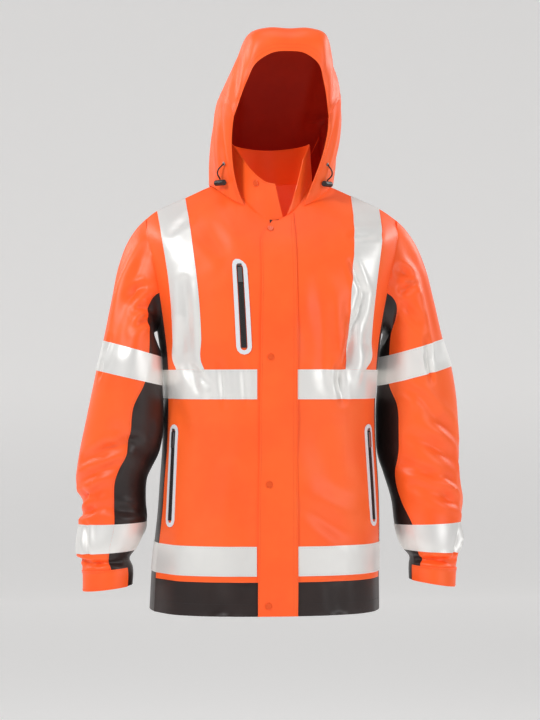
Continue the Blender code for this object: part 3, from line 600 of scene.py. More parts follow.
# The pocket frame film glows slightly: painted light that brightens it.
FRAME_FILM = plain_material("pocket_frame_film", (0.78, 0.80, 0.84), 0.4, glow=0.04)
ZIP_CLOTH = plain_material("zip_tape", (0.020, 0.017, 0.018), 0.7)
TEETH = plain_material("zip_teeth", (0.045, 0.04, 0.04), 0.35)
METAL = plain_material("dark_nickel", (0.32, 0.32, 0.33), 0.35, 1.0)
BLACK = plain_material("black_plastic", (0.012, 0.011, 0.011), 0.45)
THREAD = plain_material("orange_thread", (0.85, 0.10, 0.02), 0.7)
WHITE_THREAD = plain_material("white_thread", (0.75, 0.74, 0.72), 0.6)
DARK_THREAD = plain_material("dark_thread", (0.03, 0.022, 0.022), 0.6)
SNAP = plain_material("orange_snap", (0.92, 0.105, 0.018), 0.28)
FLOOR = plain_material("pale_floor", (0.80, 0.79, 0.78), 0.8, glow=0.42)
# Painted shade: the hood's inner face is the same orange cloth, coloured a deeper, darker red for the shade
# inside the hood.
HOOD_INSIDE_SHADE = cloth_material("hood_inside_painted_shade", (0.62, 0.040, 0.008), (0.50, 0.028, 0.006), 0.7, 0.0, 0.2)

# ---- fine grids ---------------------------------------------------------------------------------

def split(grid):
    """A grid of (point, vector) pairs as two arrays."""
    return (np.array([[p[:] for p, _ in row] for row in grid]),
            np.array([[v[:] for _, v in row] for row in grid]))


def spline(array, count):
    """Cubic through the first axis of an array, with count steps from one row to the next."""
    slope = np.empty_like(array)
    slope[1:-1] = (array[2:] - array[:-2]) / 2
    slope[0], slope[-1] = array[1] - array[0], array[-1] - array[-2]
    if array.ndim == 3:
        step = np.linalg.norm(np.diff(array, axis=0), axis=2, keepdims=True).mean(axis=1, keepdims=True)
        gap = np.concatenate([step[:1], step, step[-1:]])
        low, high = gap[:-1], gap[1:]
        safe = np.maximum(low + high, 1e-9)
        middle = (np.concatenate([array[:1], array[:-1]]), np.concatenate([array[1:], array[-1:]]))
        slope = (array - middle[0]) * high / safe / np.maximum(low, 1e-9)
        slope = slope + (middle[1] - array) * low / safe / np.maximum(high, 1e-9)
    rows = []
    for i in range(len(array) - 1):
        span = step[i] if array.ndim == 3 else 1.0
        for k in range(count):
            t = k / count
            ease = t * t * (3 - 2 * t)
            rows.append(array[i] + (array[i + 1] - array[i]) * ease
                        + span * t * (1 - t) * ((1 - t) * slope[i] - t * slope[i + 1]))
    rows.append(array[-1])
    return np.array(rows)


def refine(points, down=FINE, across=FINE):
    fine = spline(points, down)
    return spline(fine.transpose(1, 0, 2), across).transpose(1, 0, 2)


def grid_normals(points, like):
    """Normals of a fine grid, on the same side as the plain grid's vectors."""
    along, around = np.gradient(points, axis=0), np.gradient(points, axis=1)
    normal = np.cross(along, around)
    normal /= np.maximum(np.linalg.norm(normal, axis=2, keepdims=True), 1e-12)
    middle = tuple(n // 2 for n in points.shape[:2])
    coarse = like[like.shape[0] // 2, like.shape[1] // 2]
    return normal * (1 if normal[middle] @ coarse > 0 else -1)


def fold_shape(away, share, fold):
    """Lift of a fold: a soft trough or ridge that fades at both ends, with a low swell beside it."""
    reach = away / fold["width"]
    fade = np.sin(pi * np.clip(share * 0.84 + 0.08, 0, 1)) ** 0.8
    profile = np.exp(-reach ** 2) - 0.35 * np.exp(-((reach - 1.8) ** 2) * 1.5)
    return fold["depth"] * fade * profile


def creased(points, creases, back=False):
    """Lift of a body grid along folds that lie between two points of its front view."""
    lift = np.zeros(points.shape[:2])
    shown = points[:, :, 1] > 0.0 if back else points[:, :, 1] < 0.02
    for fold in creases:
        start = np.array((fold["x"], fold["z"]))
        run = np.array((fold["end_x"], fold["end_z"])) - start
        at = points[:, :, (0, 2)] - start
        share = np.clip(at @ run / (run @ run), 0, 1)
        away = np.linalg.norm(at - share[..., None] * run, axis=2)
        lift += fold_shape(away, share, fold) * shown
    return lift


def edge_fade(shape, reach, sides=(1, 1, 1, 1)):
    """0 on the chosen edges of a grid (top, end, left, right) and 1 inside."""
    rows, columns = np.arange(shape[0]), np.arange(shape[1])

    def soft(line, wanted):
        share = np.clip(line / reach, 0, 1)
        return share ** 2 * (3 - 2 * share) if wanted else np.ones(len(line))

    down = soft(rows, sides[0]) * soft(rows[::-1], sides[1])
    across = soft(columns, sides[2]) * soft(columns[::-1], sides[3])
    return down[:, None] * across[None, :]


def shell(name, points, normals, low, high, paint, nodes=(), inset=0.0001, inside_shade=None):
    """A closed smooth wall between two offsets of a fine grid. It rides on the jacket."""
    rows, columns = points.shape[:2]
    points = points.copy()
    for lines in (points.transpose(1, 0, 2), points):
        for near, edge in ((1, 0), (-2, -1)):
            move = lines[near] - lines[edge]
            length = np.maximum(np.linalg.norm(move, axis=1, keepdims=True), 1e-9)
            lines[edge] += move / length * np.minimum(inset, length * 0.5)
    vertices = np.concatenate([(points + normals * lift).reshape(-1, 3) for lift in (high, low)])
    index = np.arange(rows * columns).reshape(rows, columns)
    corners = [index[:-1, :-1], index[1:, :-1], index[1:, 1:], index[:-1, 1:]]
    quads = np.stack(corners, axis=-1).reshape(-1, 4)
    shift = rows * columns
    under = quads[:, ::-1] + shift
    rims = [(index[0, 1:], index[0, :-1]), (index[-1, :-1], index[-1, 1:]),
            (index[:-1, 0], index[1:, 0]), (index[1:, -1], index[:-1, -1])]
    sides = [np.stack([b, a, a + shift, b + shift], axis=-1)[:, ::-1] for a, b in rims]
    faces = np.concatenate([quads, under, *sides])
    mesh = bpy.data.meshes.new(name)
    mesh.from_pydata(vertices.tolist(), [], faces.tolist())
    work = bmesh.new()
    work.from_mesh(mesh)
    bmesh.ops.recalc_face_normals(work, faces=work.faces)
    work.to_mesh(mesh)
    work.free()
    mesh.polygons.foreach_set("use_smooth", [True] * len(mesh.polygons))
    mesh.set_sharp_from_angle(angle=radians(50))
    made = piece(name, mesh, paint, nodes)
    # The inner face takes the darker red of painted shade, for the shade inside the hood.
    if inside_shade:
        mesh.materials.append(inside_shade)
        for face in mesh.polygons[len(quads):2 * len(quads)]:
            face.material_index = 1
    return made


def piece(name, data, paint, nodes=(), body=ROOT):
    made = bpy.data.objects.new(name, data)
    made.data.materials.append(paint)
    bpy.context.scene.collection.objects.link(made)
    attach(made, body)
    if nodes:
        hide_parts(*nodes)
    return made


def mesh_of(name, work):
    """A mesh from a bmesh, which is freed."""
    mesh = bpy.data.meshes.new(name)
    work.to_mesh(mesh)
    work.free()
    return mesh


def stitches(name, line, normals, lift, paint, length=0.0026, space=0.0017, width=0.00055):
    """A row of small stitches along a line of points, raised on its surface."""
    line, normals = np.asarray(line), np.asarray(normals)
    steps = np.linalg.norm(np.diff(line, axis=0), axis=1)
    far = np.concatenate([[0], np.cumsum(steps)])
    starts = np.arange(0.001, far[-1] - length, length + space)

    def along(d, array):
        return np.stack([np.interp(d, far, array[:, k]) for k in range(3)], axis=-1)

    vertices, faces = [], []
    for start in starts:
        a, b = along(start, line), along(start + length, line)
        up = along(start + length / 2, normals)
        up /= np.linalg.norm(up)
        side = np.cross(b - a, up)
        side *= width / 2 / max(np.linalg.norm(side), 1e-9)
        base = len(vertices)
        middle = (a + b) / 2
        for spot, height in ((a, 0.0), (middle, 0.00035), (b, 0.0)):
            top = spot + up * (lift + 0.0002 + height)
            vertices += [spot - side + up * lift, top, spot + side + up * lift]
        for s in (0, 3):
            faces += [(base + s, base + s + 3, base + s + 4, base + s + 1),
                      (base + s + 1, base + s + 4, base + s + 5, base + s + 2),
                      (base + s, base + s + 2, base + s + 5, base + s + 3)]
        faces += [(base, base + 1, base + 2), (base + 8, base + 7, base + 6)]
    mesh = bpy.data.meshes.new(name)
    mesh.from_pydata([tuple(v) for v in vertices], [], faces)
    return piece(name, mesh, paint)


# ---- folds --------------------------------------------------------------------------------------

FRONT_FOLDS = table(
    "x z end_x end_z width depth",
    (-0.176, -0.080, -0.140, -0.052, 0.0060, -0.0053),
    (-0.155, -0.165, -0.148, -0.290, 0.0085, -0.0075),
    (-0.163, -0.230, -0.158, -0.300, 0.0060, -0.0045),
    (-0.150, -0.300, -0.128, -0.340, 0.0090, -0.0075),
    (-0.140, -0.318, -0.118, -0.350, 0.0060, 0.0045),
    (-0.094, -0.300, -0.088, -0.372, 0.0060, -0.0042),
    (-0.058, -0.300, -0.052, -0.372, 0.0060, -0.0036),
    (-0.120, -0.055, -0.085, -0.120, 0.0160, -0.0045),
    (0.125, -0.060, 0.180, -0.058, 0.0050, -0.0036),
    (0.130, -0.086, 0.182, -0.083, 0.0055, -0.0039),
    (0.128, -0.130, 0.148, -0.182, 0.0060, -0.0075),
    (0.148, -0.182, 0.136, -0.235, 0.0075, -0.0075),
    (0.130, -0.225, 0.124, -0.300, 0.0080, -0.0083),
    (0.124, -0.270, 0.104, -0.338, 0.0090, -0.0075),
    (0.150, -0.280, 0.132, -0.340, 0.0070, 0.0053),
    (0.098, -0.290, 0.112, -0.365, 0.0070, -0.0060),
    (0.070, -0.170, 0.082, -0.330, 0.0140, -0.0053),
    (0.105, -0.190, 0.098, -0.330, 0.0120, 0.0045),
    (0.048, -0.230, 0.056, -0.310, 0.0130, -0.0037),
    (0.060, -0.400, 0.110, -0.560, 0.0260, -0.0045),
    (0.050, -0.545, 0.128, -0.600, 0.0140, -0.0048),
    (0.066, -0.520, 0.150, -0.560, 0.0160, 0.0039),
    (-0.100, -0.420, -0.130, -0.590, 0.0240, -0.0042),
    (-0.060, -0.500, -0.052, -0.640, 0.0180, -0.0030),
    (-0.190, -0.330, -0.150, -0.420, 0.0120, -0.0045),
    (-0.090, -0.680, -0.096, -0.735, 0.0140, -0.0033),
    (0.100, -0.670, 0.108, -0.735, 0.0150, -0.0036),
)
BACK_FOLDS = table(
    "x z end_x end_z width depth",
    (-0.110, -0.120, -0.090, -0.300, 0.0140, -0.0060),
    (0.120, -0.130, 0.096, -0.290, 0.0130, -0.0060),
    (-0.040, -0.260, -0.020, -0.420, 0.0180, -0.0045),
    (0.050, -0.280, 0.040, -0.450, 0.0160, -0.0048),
    (-0.140, -0.330, -0.080, -0.440, 0.0150, -0.0060),
    (0.150, -0.340, 0.090, -0.430, 0.0140, -0.0060),
    (-0.070, -0.480, -0.090, -0.640, 0.0220, -0.0045),
    (0.080, -0.500, 0.110, -0.660, 0.0200, -0.0042),
)
# Sleeve folds: ring position and angle at both ends, then width and depth.
SLEEVE_FOLDS = {
    -1: table(
        "row turn end_row end_turn width depth",
        (1.6, 95, 3.3, 60, 0.0080, -0.0075),
        (2.6, 120, 3.6, 80, 0.0070, -0.0067),
        (3.4, 118, 4.3, 85, 0.0065, -0.0060),
        (1.0, 30, 5.6, 38, 0.0100, 0.0067),
        (1.8, 62, 5.0, 70, 0.0130, -0.0060),
        (4.9, 38, 6.2, 30, 0.0050, -0.0083),
        (9.3, 40, 8.3, 130, 0.0100, -0.0090),
        (10.2, 20, 9.4, 110, 0.0090, -0.0090),
        (10.9, -10, 10.3, 95, 0.0100, -0.0097),
        (11.6, -20, 11.0, 80, 0.0080, -0.0083),
        (10.4, 60, 11.6, 20, 0.0080, 0.0060),
        (11.0, 100, 11.5, 170, 0.0080, -0.0060),
        (8.0, 100, 9.3, 170, 0.0110, -0.0060),
        (12.0, 50, 13.1, 66, 0.0060, -0.0067),
        (13.5, -20, 13.9, 60, 0.0050, -0.0075),
        (13.9, 40, 14.2, 140, 0.0050, -0.0067),
        (14.3, -10, 14.5, 70, 0.0040, -0.0045),
        (2.0, 210, 4.6, 250, 0.0110, -0.0067),
        (7.0, 230, 8.6, 300, 0.0120, -0.0075),
        (9.4, 210, 10.4, 300, 0.0100, -0.0083),
    ),
    1: table(
        "row turn end_row end_turn width depth",
        (1.2, 84, 2.6, 66, 0.0085, -0.0075),
        (2.2, 104, 3.0, 62, 0.0070, -0.0075),
        (3.0, 112, 4.4, 74, 0.0080, -0.0075),
        (2.4, 60, 4.9, 74, 0.0160, 0.0060),
        (1.2, 40, 5.4, 52, 0.0120, -0.0045),
        (4.8, 72, 6.3, 76, 0.0050, -0.0083),
        (6.3, 118, 7.4, 80, 0.0085, -0.0075),
        (7.3, 100, 8.6, 30, 0.0110, -0.0083),
        (8.3, 120, 9.4, 40, 0.0110, -0.0090),
        (9.5, 130, 10.2, 50, 0.0090, -0.0090),
        (10.3, 110, 11.2, 10, 0.0100, -0.0090),
        (9.0, 20, 10.6, -10, 0.0100, -0.0060),
        (10.0, 70, 10.9, 30, 0.0080, 0.0060),
        (12.1, 30, 13.2, 52, 0.0055, -0.0075),
        (12.2, 20, 12.9, 34, 0.0060, 0.0060),
        (13.6, 120, 13.9, 40, 0.0050, -0.0083),
        (14.0, 150, 14.2, 70, 0.0050, -0.0067),
        (14.3, 100, 14.6, 20, 0.0040, -0.0045),
        (2.0, 210, 4.6, 250, 0.0110, -0.0067),
        (7.0, 230, 8.6, 300, 0.0120, -0.0075),
        (9.4, 210, 10.4, 300, 0.0100, -0.0083),
    ),
}
# Hood folds in its own grid: how far back along the arches, and the angle on the arch.
HOOD_FOLDS = table(
    "along turn end_along end_turn width depth",
    (0.05, -88, 0.20, -66, 0.0080, -0.0053),
    (0.04, 86, 0.16, 62, 0.0080, -0.0053),
    (0.02, -60, 0.30, -40, 0.0100, -0.0045),
    (0.03, 64, 0.34, 42, 0.0110, -0.0053),
    (0.30, -86, 0.55, -60, 0.0130, -0.0067),
    (0.30, 86, 0.58, 58, 0.0130, -0.0067),
    (0.62, -84, 0.80, -40, 0.0120, -0.0075),
    (0.64, 84, 0.84, 36, 0.0120, -0.0075),
    (0.86, -70, 0.90, 60, 0.0080, -0.0060),
)


def fold_lift(points, folds, spot):
    """How far a grid moves along folds whose ends spot() turns into points of its surface."""
    lift = np.zeros(points.shape[:2])
    for fold in folds:
        keys = [key for key in fold if key not in ("width", "depth")]
        start, end = [[fold[key] for key in pair] for pair in (keys[:2], keys[2:])]
        middle = [(low + high) / 2 for low, high in zip(start, end)]
        trail = np.array([spot(*place)[:] for place in (start, middle, end)])
        best = np.full(points.shape[:2], 9.0)
        share = np.zeros(points.shape[:2])
        for part in range(2):
            run = trail[part + 1] - trail[part]
            at = points - trail[part]
            t = np.clip(at @ run / max(run @ run, 1e-12), 0, 1)
            away = np.linalg.norm(at - t[..., None] * run, axis=2)
            closer = away < best
            best = np.where(closer, away, best)
            share = np.where(closer, (t + part) / 2, share)
        lift += fold_shape(best, share, fold)
    return lift


# ---- the pieces ---------------------------------------------------------------------------------

HALF = CLOTH / 2
TAPE_LOW = CAD_CLOTH / 2 + GAP
STITCH_INSET = 0.003    # from a tape's edge to its stitch line
CUFF_TAB = 0.0016
SEAM_GAP = 0.0003       # between neighbouring solids
POCKET_FRAME = 0.001
ZIP_START = 0.016       # first tooth, from the top of the pocket
ZIP_END = 0.014         # last tooth, from its foot
TOOTH_STEP = 0.0016
ZIP_PARTS = 12          # straight stretches that follow the front


def strip_of(fine, rows, columns):
    """Some rows and columns of a fine grid, both ends included."""
    return [array[rows[0]:rows[1] + 1, columns[0]:columns[1] + 1] for array in fine]


def laid(name, fine, rows, columns, paint, thick=TAPE, low=TAPE_LOW, nodes=None):
    """A strip that lies on a shell: some rows and columns of its fine grid, moved out."""
    points, normals = strip_of(fine, rows, columns)
    return shell(name, points, normals, low, low + thick, paint, nodes or (name.replace("_film", ""),))


def fine_grid(grid, lift_of):
    """Points and normals of a panel's fine grid, moved along its folds but not at its seams."""
    coarse, vectors = split(grid)
    points = refine(coarse)
    normals = grid_normals(points, vectors)
    lift = lift_of(points) * edge_fade(points.shape[:2], 3)
    points = points + normals * lift[..., None]
    return points, grid_normals(points, vectors)


def body_lift(points):
    return creased(points, FRONT_FOLDS) + creased(points, BACK_FOLDS, back=True)


def edge_stitches(name, fine, index, axis, lift, paint):
    """Stitches along one row or column of a fine grid."""
    points, normals = fine
    line = points[index] if axis == "row" else points[:, index]
    side = normals[index] if axis == "row" else normals[:, index]
    stitches(name, line, side, lift, paint)


def tape_with_stitches(name, fine, rows, columns):
    """A reflective tape with a stitch line just inside each long edge."""
    laid(name, fine, rows, columns, TAPE_CLOTH)
    points, normals = strip_of(fine, rows, columns)
    across = points[-1] - points[0]
    width = np.linalg.norm(across, axis=1, keepdims=True)
    for label, base, sign in (("top", 0, 1), ("end", -1, -1)):
        line = points[base] + sign * across / width * STITCH_INSET
        stitches(name + "_stitch_" + label, line, normals[base], TAPE_LOW + TAPE, WHITE_THREAD)


def build_body():
    fronts = {}
    halves = {}
    for side, name in ((-1, "right"), (1, "left")):
        front = fine_grid(half_panel(side, "front", MITRES), body_lift)
        under = fine_grid(side_grid(side, MITRES), body_lift)
        halves[side] = half_panel(side, "back", MITRES)
        fronts[side] = front
        main = shell("shell_front_" + name, *front, -HALF, HALF, ORANGE, ("front_" + name,))
        dark = shell("shell_side_" + name, *under, -HALF, HALF, DARK, ("side_" + name,), inset=0.0006)
        waist = [row * FINE for row in WAIST_ROWS]
        low = [row * FINE for row in HEM_TAPE_ROWS]
        last = front[0].shape[1] - 1
        tape_with_stitches("waist_tape_front_" + name, front, waist, (FINE, last))
        tape_with_stitches("hem_tape_front_" + name, front, low, (FINE, last))
        up = PANEL_CORNER * FINE
        side_last = under[0].shape[1] - 1
        tape_with_stitches("waist_tape_side_" + name, under, [row - up for row in waist], (0, side_last))
        tape_with_stitches("hem_tape_side_" + name, under, [row - up for row in low], (0, side_last))
        hem = fine_grid(hem_grid("front", side), body_lift)
        band = shell("shell_hem_front_" + name, *hem, -HALF, HALF, DARK, ("hem_front_" + name,))
        edge_stitches("hem_stitch_front_" + name, hem, FINE + 2, "row", HALF, DARK_THREAD)
        edge_stitches("seam_stitch_front_" + name, front, last - 1, "column", HALF, THREAD)
    whole = [list(reversed(right)) + left[1:] for right, left in zip(halves[-1], halves[1])]
    back = fine_grid(whole, body_lift)
    main = shell("shell_back", *back, -HALF, HALF, ORANGE, ("back",))
    last = back[0].shape[1] - 1
    tape_with_stitches("waist_tape_back", back, [row * FINE for row in WAIST_ROWS], (0, last))
    tape_with_stitches("hem_tape_back", back, [row * FINE for row in HEM_TAPE_ROWS], (0, last))
    hem = [list(reversed(right)) + left[1:] for right, left in zip(hem_grid("back", -1), hem_grid("back", 1))]
    fine_hem = fine_grid(hem, body_lift)
    band = shell("shell_hem_back", *fine_hem, -HALF, HALF, DARK, ("hem_back",))
    edge_stitches("hem_stitch_back", fine_hem, FINE + 2, "row", HALF, DARK_THREAD)
    end = WAIST_ROWS[0] * FINE
    for side, name in ((-1, "right"), (1, "left")):
        columns = (5 * FINE, 7 * FINE)
        middle = (back[0].shape[1] - 1) // 2
        picks = [middle + side * column for column in range(columns[0], columns[1] + 1)]
        behind = [array[1:end + 1, picks][::-1] for array in back]
        strip = strip_of(fronts[side], (0, end), columns)
        line = [np.concatenate(pair) for pair in zip(behind, strip)]
        shell("brace_film_" + name, *line, TAPE_LOW, TAPE_LOW + TAPE, TAPE_CLOTH, ("brace_" + name,))
        for label, base, sign in (("in", 0, 1), ("out", -1, -1)):
            across = line[0][:, -1] - line[0][:, 0]
            across /= np.linalg.norm(across, axis=1, keepdims=True)
            stitches("brace_stitch_%s_%s" % (label, name), line[0][:, base] + sign * across * STITCH_INSET,
                     line[1][:, base], TAPE_LOW + TAPE, WHITE_THREAD)


def build_sleeves():
    for side, name in ((-1, "right"), (1, "left")):
        rings, normals = SLEEVE_RINGS[side]
        grid = [[(ring[j], vectors[j]) for j in range(16)] for ring, vectors in zip(rings, normals)]
        order = list(range(16)) + [0]
        vectors = split([[row[j] for j in order] for row in grid])[1]
        wrap = split([[row[j % 16] for j in range(-3, 20)] for row in grid])[0]
        points = refine(wrap)[:, 3 * FINE:19 * FINE + 1]

        def spot(row, turn):
            sections = np.array([[ring[j][:] for j in range(16)] for ring in rings])
            base = min(int(row), len(sections) - 2)
            part = row - base
            corners = SLEEVES[side][0]
            knots = (0.0, corners["front_seam"], 180.0, corners["back_seam"], 360.0)
            turn %= 360
            quarter = max(q for q in range(4) if knots[q] <= turn)
            column = (quarter + (turn - knots[quarter]) / (knots[quarter + 1] - knots[quarter])) * 4
            low = int(column) % 16
            mix = column - int(column)
            here, below = [ring[low] * (1 - mix) + ring[(low + 1) % 16] * mix
                           for ring in sections[base:base + 2]]
            return here * (1 - part) + below * part

        surface = grid_normals(points, vectors)
        lift = fold_lift(points, SLEEVE_FOLDS[side], spot) * edge_fade(points.shape[:2], 3, (1, 1, 0, 0))
        points = points + surface * lift[..., None]
        surface = grid_normals(points, vectors)
        around = 16 * FINE
        top_columns = np.arange(12 * FINE, 20 * FINE + 1) % around
        under_columns = np.arange(4 * FINE, 12 * FINE + 1)
        top = (points[:, top_columns], surface[:, top_columns])
        under = (points[:, under_columns], surface[:, under_columns])
        over = shell("shell_sleeve_top_" + name, *top, -HALF, HALF, ORANGE, ("sleeve_top_" + name,))
        below = shell("shell_sleeve_under_" + name, *under, -HALF, HALF, DARK, ("sleeve_under_" + name,),
                      inset=0.0005)
        start = len(SLEEVE_STEPS)
        for label, part in (("top", top), ("under", under)):
            wide = part[0].shape[1] - 1
            for height, first in (("upper", start), ("lower", start + 7)):
                rows = (first * FINE, (first + 1) * FINE)
                tape_with_stitches("sleeve_tape_%s_%s_%s" % (height, label, name), part, rows, (0, wide))
        for column in (1, top[0].shape[1] - 2):
            edge_stitches("sleeve_seam_%s_%d" % (name, column), top, column, "column", HALF, THREAD)
        cuff_rows = ((start + 10) * FINE, (start + 11) * FINE)
        tab_columns = np.arange(14 * FINE, 22 * FINE + 1) % around
        tab = (points[:, tab_columns], surface[:, tab_columns])
        laid("cuff_tab_film_" + name, tab, cuff_rows, (0, 8 * FINE), ORANGE, CUFF_TAB, TAPE_LOW,
             ("cuff_tab_" + name,))
        strip = [array[cuff_rows[0]:cuff_rows[1] + 1] for array in tab]
        for label, row, sign in (("top", 0, 1), ("end", -1, -1)):
            across = (strip[0][-1] - strip[0][0]) * sign * 0.09
            stitches("cuff_stitch_%s_%s" % (label, name), strip[0][row] + across, strip[1][row],
                     TAPE_LOW + CUFF_TAB, THREAD)


def build_closing():
    top = [0.003, 0.012, 0.026, 0.042, 0.065, 0.095, 0.135, 0.18, 0.23, 0.265, UNDERARM]
    grid = []
    for level in top + LOW_ROWS + HEM_ROWS[1:]:
        left = flap_left(level)
        xs = [left + (FLAP_RIGHT - left) * part for part in (0.0, 0.28, 0.55, 0.78, 1.0)]
        grid.append([body_pair(level, angle_at(level, x)) for x in xs])

    def ripple(points):
        height = points[:, :, 2]
        return 0.0007 * np.sin(height * 31.0) * np.sin(height * 12.0 + 1.0)

    fine = fine_grid(grid, ripple)
    low = CAD_CLOTH / 2 + 0.0012
    flap = shell("shell_storm_flap", *fine, low, low + FLAP, ORANGE, ("storm_flap",))
    wide = fine[0].shape[1]
    for label, column in (("edge", 2), ("seam", wide - 3), ("inner", wide - 6)):
        edge_stitches("flap_stitch_" + label, fine, column, "column", low + FLAP, THREAD)


def build_neck():
    grid = collar_grid()

    def ripple(points):
        return 0.0012 * np.sin(points[:, :, 0] * 90.0 + points[:, :, 2] * 30)

    fine = fine_grid(grid, ripple)
    collar = shell("shell_collar", *fine, -HALF, HALF, ORANGE, ("collar",), inset=0.002)
    edge_stitches("collar_stitch", fine, fine[0].shape[0] - 4, "row", HALF, THREAD)


def build_hood():
    for name, turns in HOOD_PARTS:
        grid = [[hood_pair(along, turn) for turn in turns] for along in HOOD_ROWS]
        fine = fine_grid(grid, lambda points: fold_lift(points, HOOD_FOLDS, hood_point))
        cloth = shell("shell_" + name, *fine, -HALF, HALF, ORANGE, (name,), inside_shade=HOOD_INSIDE_SHADE)
        if name == "hood_centre":
            centre = fine
        edge_stitches("stitch_edge_" + name, fine, 3, "row", HALF, THREAD)
        edge_stitches("stitch_inner_" + name, fine, 5, "row", HALF, THREAD)
    for label, column in (("right", 1), ("left", centre[0].shape[1] - 2)):
        edge_stitches("hood_seam_" + label, centre, column, "column", HALF, THREAD)


def paint_node(name, paint):
    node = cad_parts[name]
    for slot in node.material_slots:
        slot.material = paint


def build_pocket(pocket):
    """Finish of a pocket's CAD film, zip and pull, with zip teeth and a slider."""
    name = pocket["name"]
    length = abs(pocket["end_z"] - pocket["top_z"])
    paint_node("pocket_frame_" + name, FRAME_FILM)
    paint_node("pocket_zip_" + name, ZIP_CLOTH)
    paint_node("pocket_pull_" + name, METAL)
    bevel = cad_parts["pocket_pull_" + name].modifiers.new("edges", "BEVEL")
    bevel.width = 0.0007
    bevel.segments = 3
    low = CAD_CLOTH / 2 + 2 * SEAM_GAP + POCKET_FRAME
    start, end = ZIP_START, length - ZIP_END
    teeth = []
    count = int((end - start) / TOOTH_STEP)
    places = [start + (end - start) * i / ZIP_PARTS for i in range(ZIP_PARTS + 1)]
    middle = spots_on(pocket, [(place, 0.0) for place in places])
    side = spots_on(pocket, [(place, 0.002) for place in places])
    for i in range(count):
        share = ZIP_PARTS * i / count
        base = min(int(share), ZIP_PARTS - 1)
        mix = share - base
        point = middle[base][0].lerp(middle[base + 1][0], mix)
        across = (side[base][0] - middle[base][0]).normalized() * (0.0011 if i % 2 else -0.0011)
        teeth.append((point + across + middle[base][1] * (low + 0.0003), across, middle[base][1]))
    work = bmesh.new()
    for point, across, normal in teeth:
        turn = Matrix((across.normalized(), normal.cross(across.normalized()), normal)).transposed().to_4x4()
        size = Matrix.Diagonal((0.0026, 0.0010, 0.0011, 1.0))
        bmesh.ops.create_cube(work, size=1.0, matrix=Matrix.Translation(point) @ turn @ size)
    piece("zip_teeth_" + name, mesh_of("zip_teeth_" + name, work), TEETH)
    point, normal = spots_on(pocket, [(0.0094, 0.0)])[0]
    below = spots_on(pocket, [(0.0215, 0.0)])[0][0]
    down = (below - point).normalized()
    across = down.cross(normal).normalized()
    work = bmesh.new()
    turn = Matrix((across, down, normal)).transposed().to_4x4()
    for long, wide, high, lift in ((0.0036, 0.0070, 0.0008, 0.0005), (0.0026, 0.0030, 0.0007, 0.0012)):
        place = Matrix.Translation(point + normal * (low + lift)) @ turn
        bmesh.ops.create_cube(work, size=1.0, matrix=place @ Matrix.Diagonal((wide, long, high, 1.0)))
    bmesh.ops.bevel(work, geom=work.edges[:], offset=0.0002, segments=2, affect="EDGES")
    piece("zip_slider_" + name, mesh_of("zip_slider_" + name, work), METAL)


def spots_on(pocket, offsets):
    """Points and normals of the front at (along, across) offsets from a pocket's middle line."""
    found = []
    for along, across in offsets:
        share = along / abs(pocket["end_z"] - pocket["top_z"])
        x = pocket["top_x"] + (pocket["end_x"] - pocket["top_x"]) * share
        z = pocket["top_z"] + (pocket["end_z"] - pocket["top_z"]) * share
        level, angle = body_spot(x, z)
        rate = (body_point(level, angle + 1) - body_point(level, angle - 1)).length / 2
        found.append(body_pair(level, angle + across / rate))
    return found


def build_cord(side, name):
    eyelet, normal = hood_pair(0.11, side * 81.0)
    lower, lower_normal = hood_pair(0.13, side * 86.5)
    start = eyelet + normal * (CAD_CLOTH / 2 + 0.0006)
    lock = lower + lower_normal * 0.0072
    end = lock + Vector((0.0, 0.0, 0.0058))
    bend = (start + end) / 2 + normal * 0.009
    curve = bpy.data.curves.new("cord_" + name, "CURVE")
    curve.dimensions = "3D"
    curve.bevel_depth = 0.00125
    curve.bevel_resolution = 4
    curve.resolution_u = 16
    curve.use_fill_caps = True
    line = curve.splines.new("BEZIER")
    line.bezier_points.add(2)
    for spot, place_at in zip(line.bezier_points, (start, bend, end)):
        spot.co = place_at
        spot.handle_left_type = "AUTO"
        spot.handle_right_type = "AUTO"
    made = piece("cord_" + name, curve, BLACK, ("hood_cord_" + name,))
    paint_node("cord_lock_" + name, BLACK)
    work = bmesh.new()
    bmesh.ops.create_uvsphere(work, u_segments=16, v_segments=8, radius=0.0034,
                              matrix=Matrix.Translation(eyelet + normal * 0.0002)
                              @ normal.to_track_quat("Z", "Y").to_matrix().to_4x4()
                              @ Matrix.Diagonal((1.0, 1.0, 0.35, 1.0)))
    piece("eyelet_" + name, mesh_of("eyelet_" + name, work), METAL)


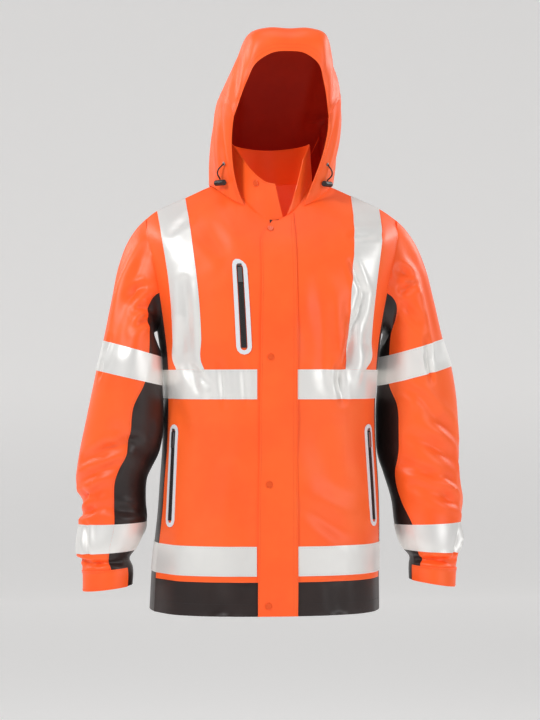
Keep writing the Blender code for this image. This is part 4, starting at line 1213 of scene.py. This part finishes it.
def build_studio():
    floor = bpy.data.meshes.new("floor")
    size, low, back, steps = 9.0, -1.45, 8.0, 10
    profile = [(-8.0, low), (back - 1.0, low)]
    turns = [pi / 2 * k / steps for k in range(1, steps)]
    profile += [(back - 1.0 + sin(turn), low + 1.0 - cos(turn)) for turn in turns]
    profile += [(back, low + 1.0), (back, 5.0)]
    vertices = [(x, y, z) for y, z in profile for x in (-size, size)]
    faces = [(2 * k, 2 * k + 1, 2 * k + 3, 2 * k + 2) for k in range(len(profile) - 1)]
    floor.from_pydata(vertices, [], faces)
    floor.polygons.foreach_set("use_smooth", [True] * len(floor.polygons))
    backdrop = bpy.data.objects.new("floor", floor)
    floor.materials.append(FLOOR)
    bpy.context.scene.collection.objects.link(backdrop)
    for name, place, aim, energy, width in (
        ("key", (-2.3, -2.2, 1.9), (0, 0, -0.25), 74, 0.8),
        ("fill", (2.4, -2.2, 0.5), (0, 0, -0.3), 26, 1.2),
        ("rim_right", (-2.2, 1.1, 1.2), (0, 0, -0.1), 20, 0.9),
        ("rim_left", (2.2, 1.1, 1.0), (0, 0, -0.2), 24, 0.9),
        ("top", (0, -0.4, 2.6), (0, 0, 0), 12, 1.2),
    ):
        light = bpy.data.lights.new(name, "AREA")
        light.energy = energy
        light.size = width
        lamp = bpy.data.objects.new(name, light)
        lamp.location = place
        lamp.rotation_euler = (Vector(aim) - Vector(place)).to_track_quat("-Z", "Y").to_euler()
        bpy.context.scene.collection.objects.link(lamp)
    world = bpy.data.worlds.new("studio")
    world.use_nodes = True
    world.node_tree.nodes["Background"].inputs["Color"].default_value = (0.95, 0.97, 1.0, 1.0)
    world.node_tree.nodes["Background"].inputs["Strength"].default_value = 0.2
    bpy.context.scene.world = world
    bpy.context.scene.view_settings.view_transform = "Standard"


CAMERA_FAR = 4.0
CAMERA_TURN = -5.0
CAMERA_LEVEL = -0.296


def build_camera():
    """The photo's view: level with the waist and turned a little to the wearer's right."""
    lens = bpy.data.cameras.new("camera")
    lens.sensor_fit = "VERTICAL"
    lens.sensor_height = 36.0
    lens.lens = 36.0 * CAMERA_FAR / VIEW_HEIGHT
    camera = bpy.data.objects.new("camera", lens)
    turn = radians(CAMERA_TURN)
    camera.location = (CAMERA_FAR * sin(turn), -CAMERA_FAR * cos(turn), CAMERA_LEVEL)
    camera.rotation_euler = (pi / 2, 0, turn)
    bpy.context.scene.collection.objects.link(camera)
    bpy.context.scene.camera = camera


VIEW_HEIGHT = 1.2528    # height seen at the jacket's middle


SLEEVE_RINGS, MITRES = {}, {}
for side in (-1, 1):
    rings = sleeve_rows(side)
    ring_normals = tube_normals(rings, side)
    SLEEVE_RINGS[side] = (rings, ring_normals)
    loop = armhole_loop(side)
    MITRES[side] = [mitre(body_normal(*loop[j]), ring_normals[0][j]) for j in range(16)]
build_body()
build_sleeves()
build_closing()
build_neck()
build_hood()
for pocket in POCKETS:
    build_pocket(pocket)
for side, name in ((-1, "right"), (1, "left")):
    build_cord(side, name)
for number in range(1, 5):
    paint_node("snap_%d" % number, SNAP)
paint_node("collar_snap", SNAP)
paint_node("front_zip", ZIP_CLOTH)
build_studio()
build_camera()
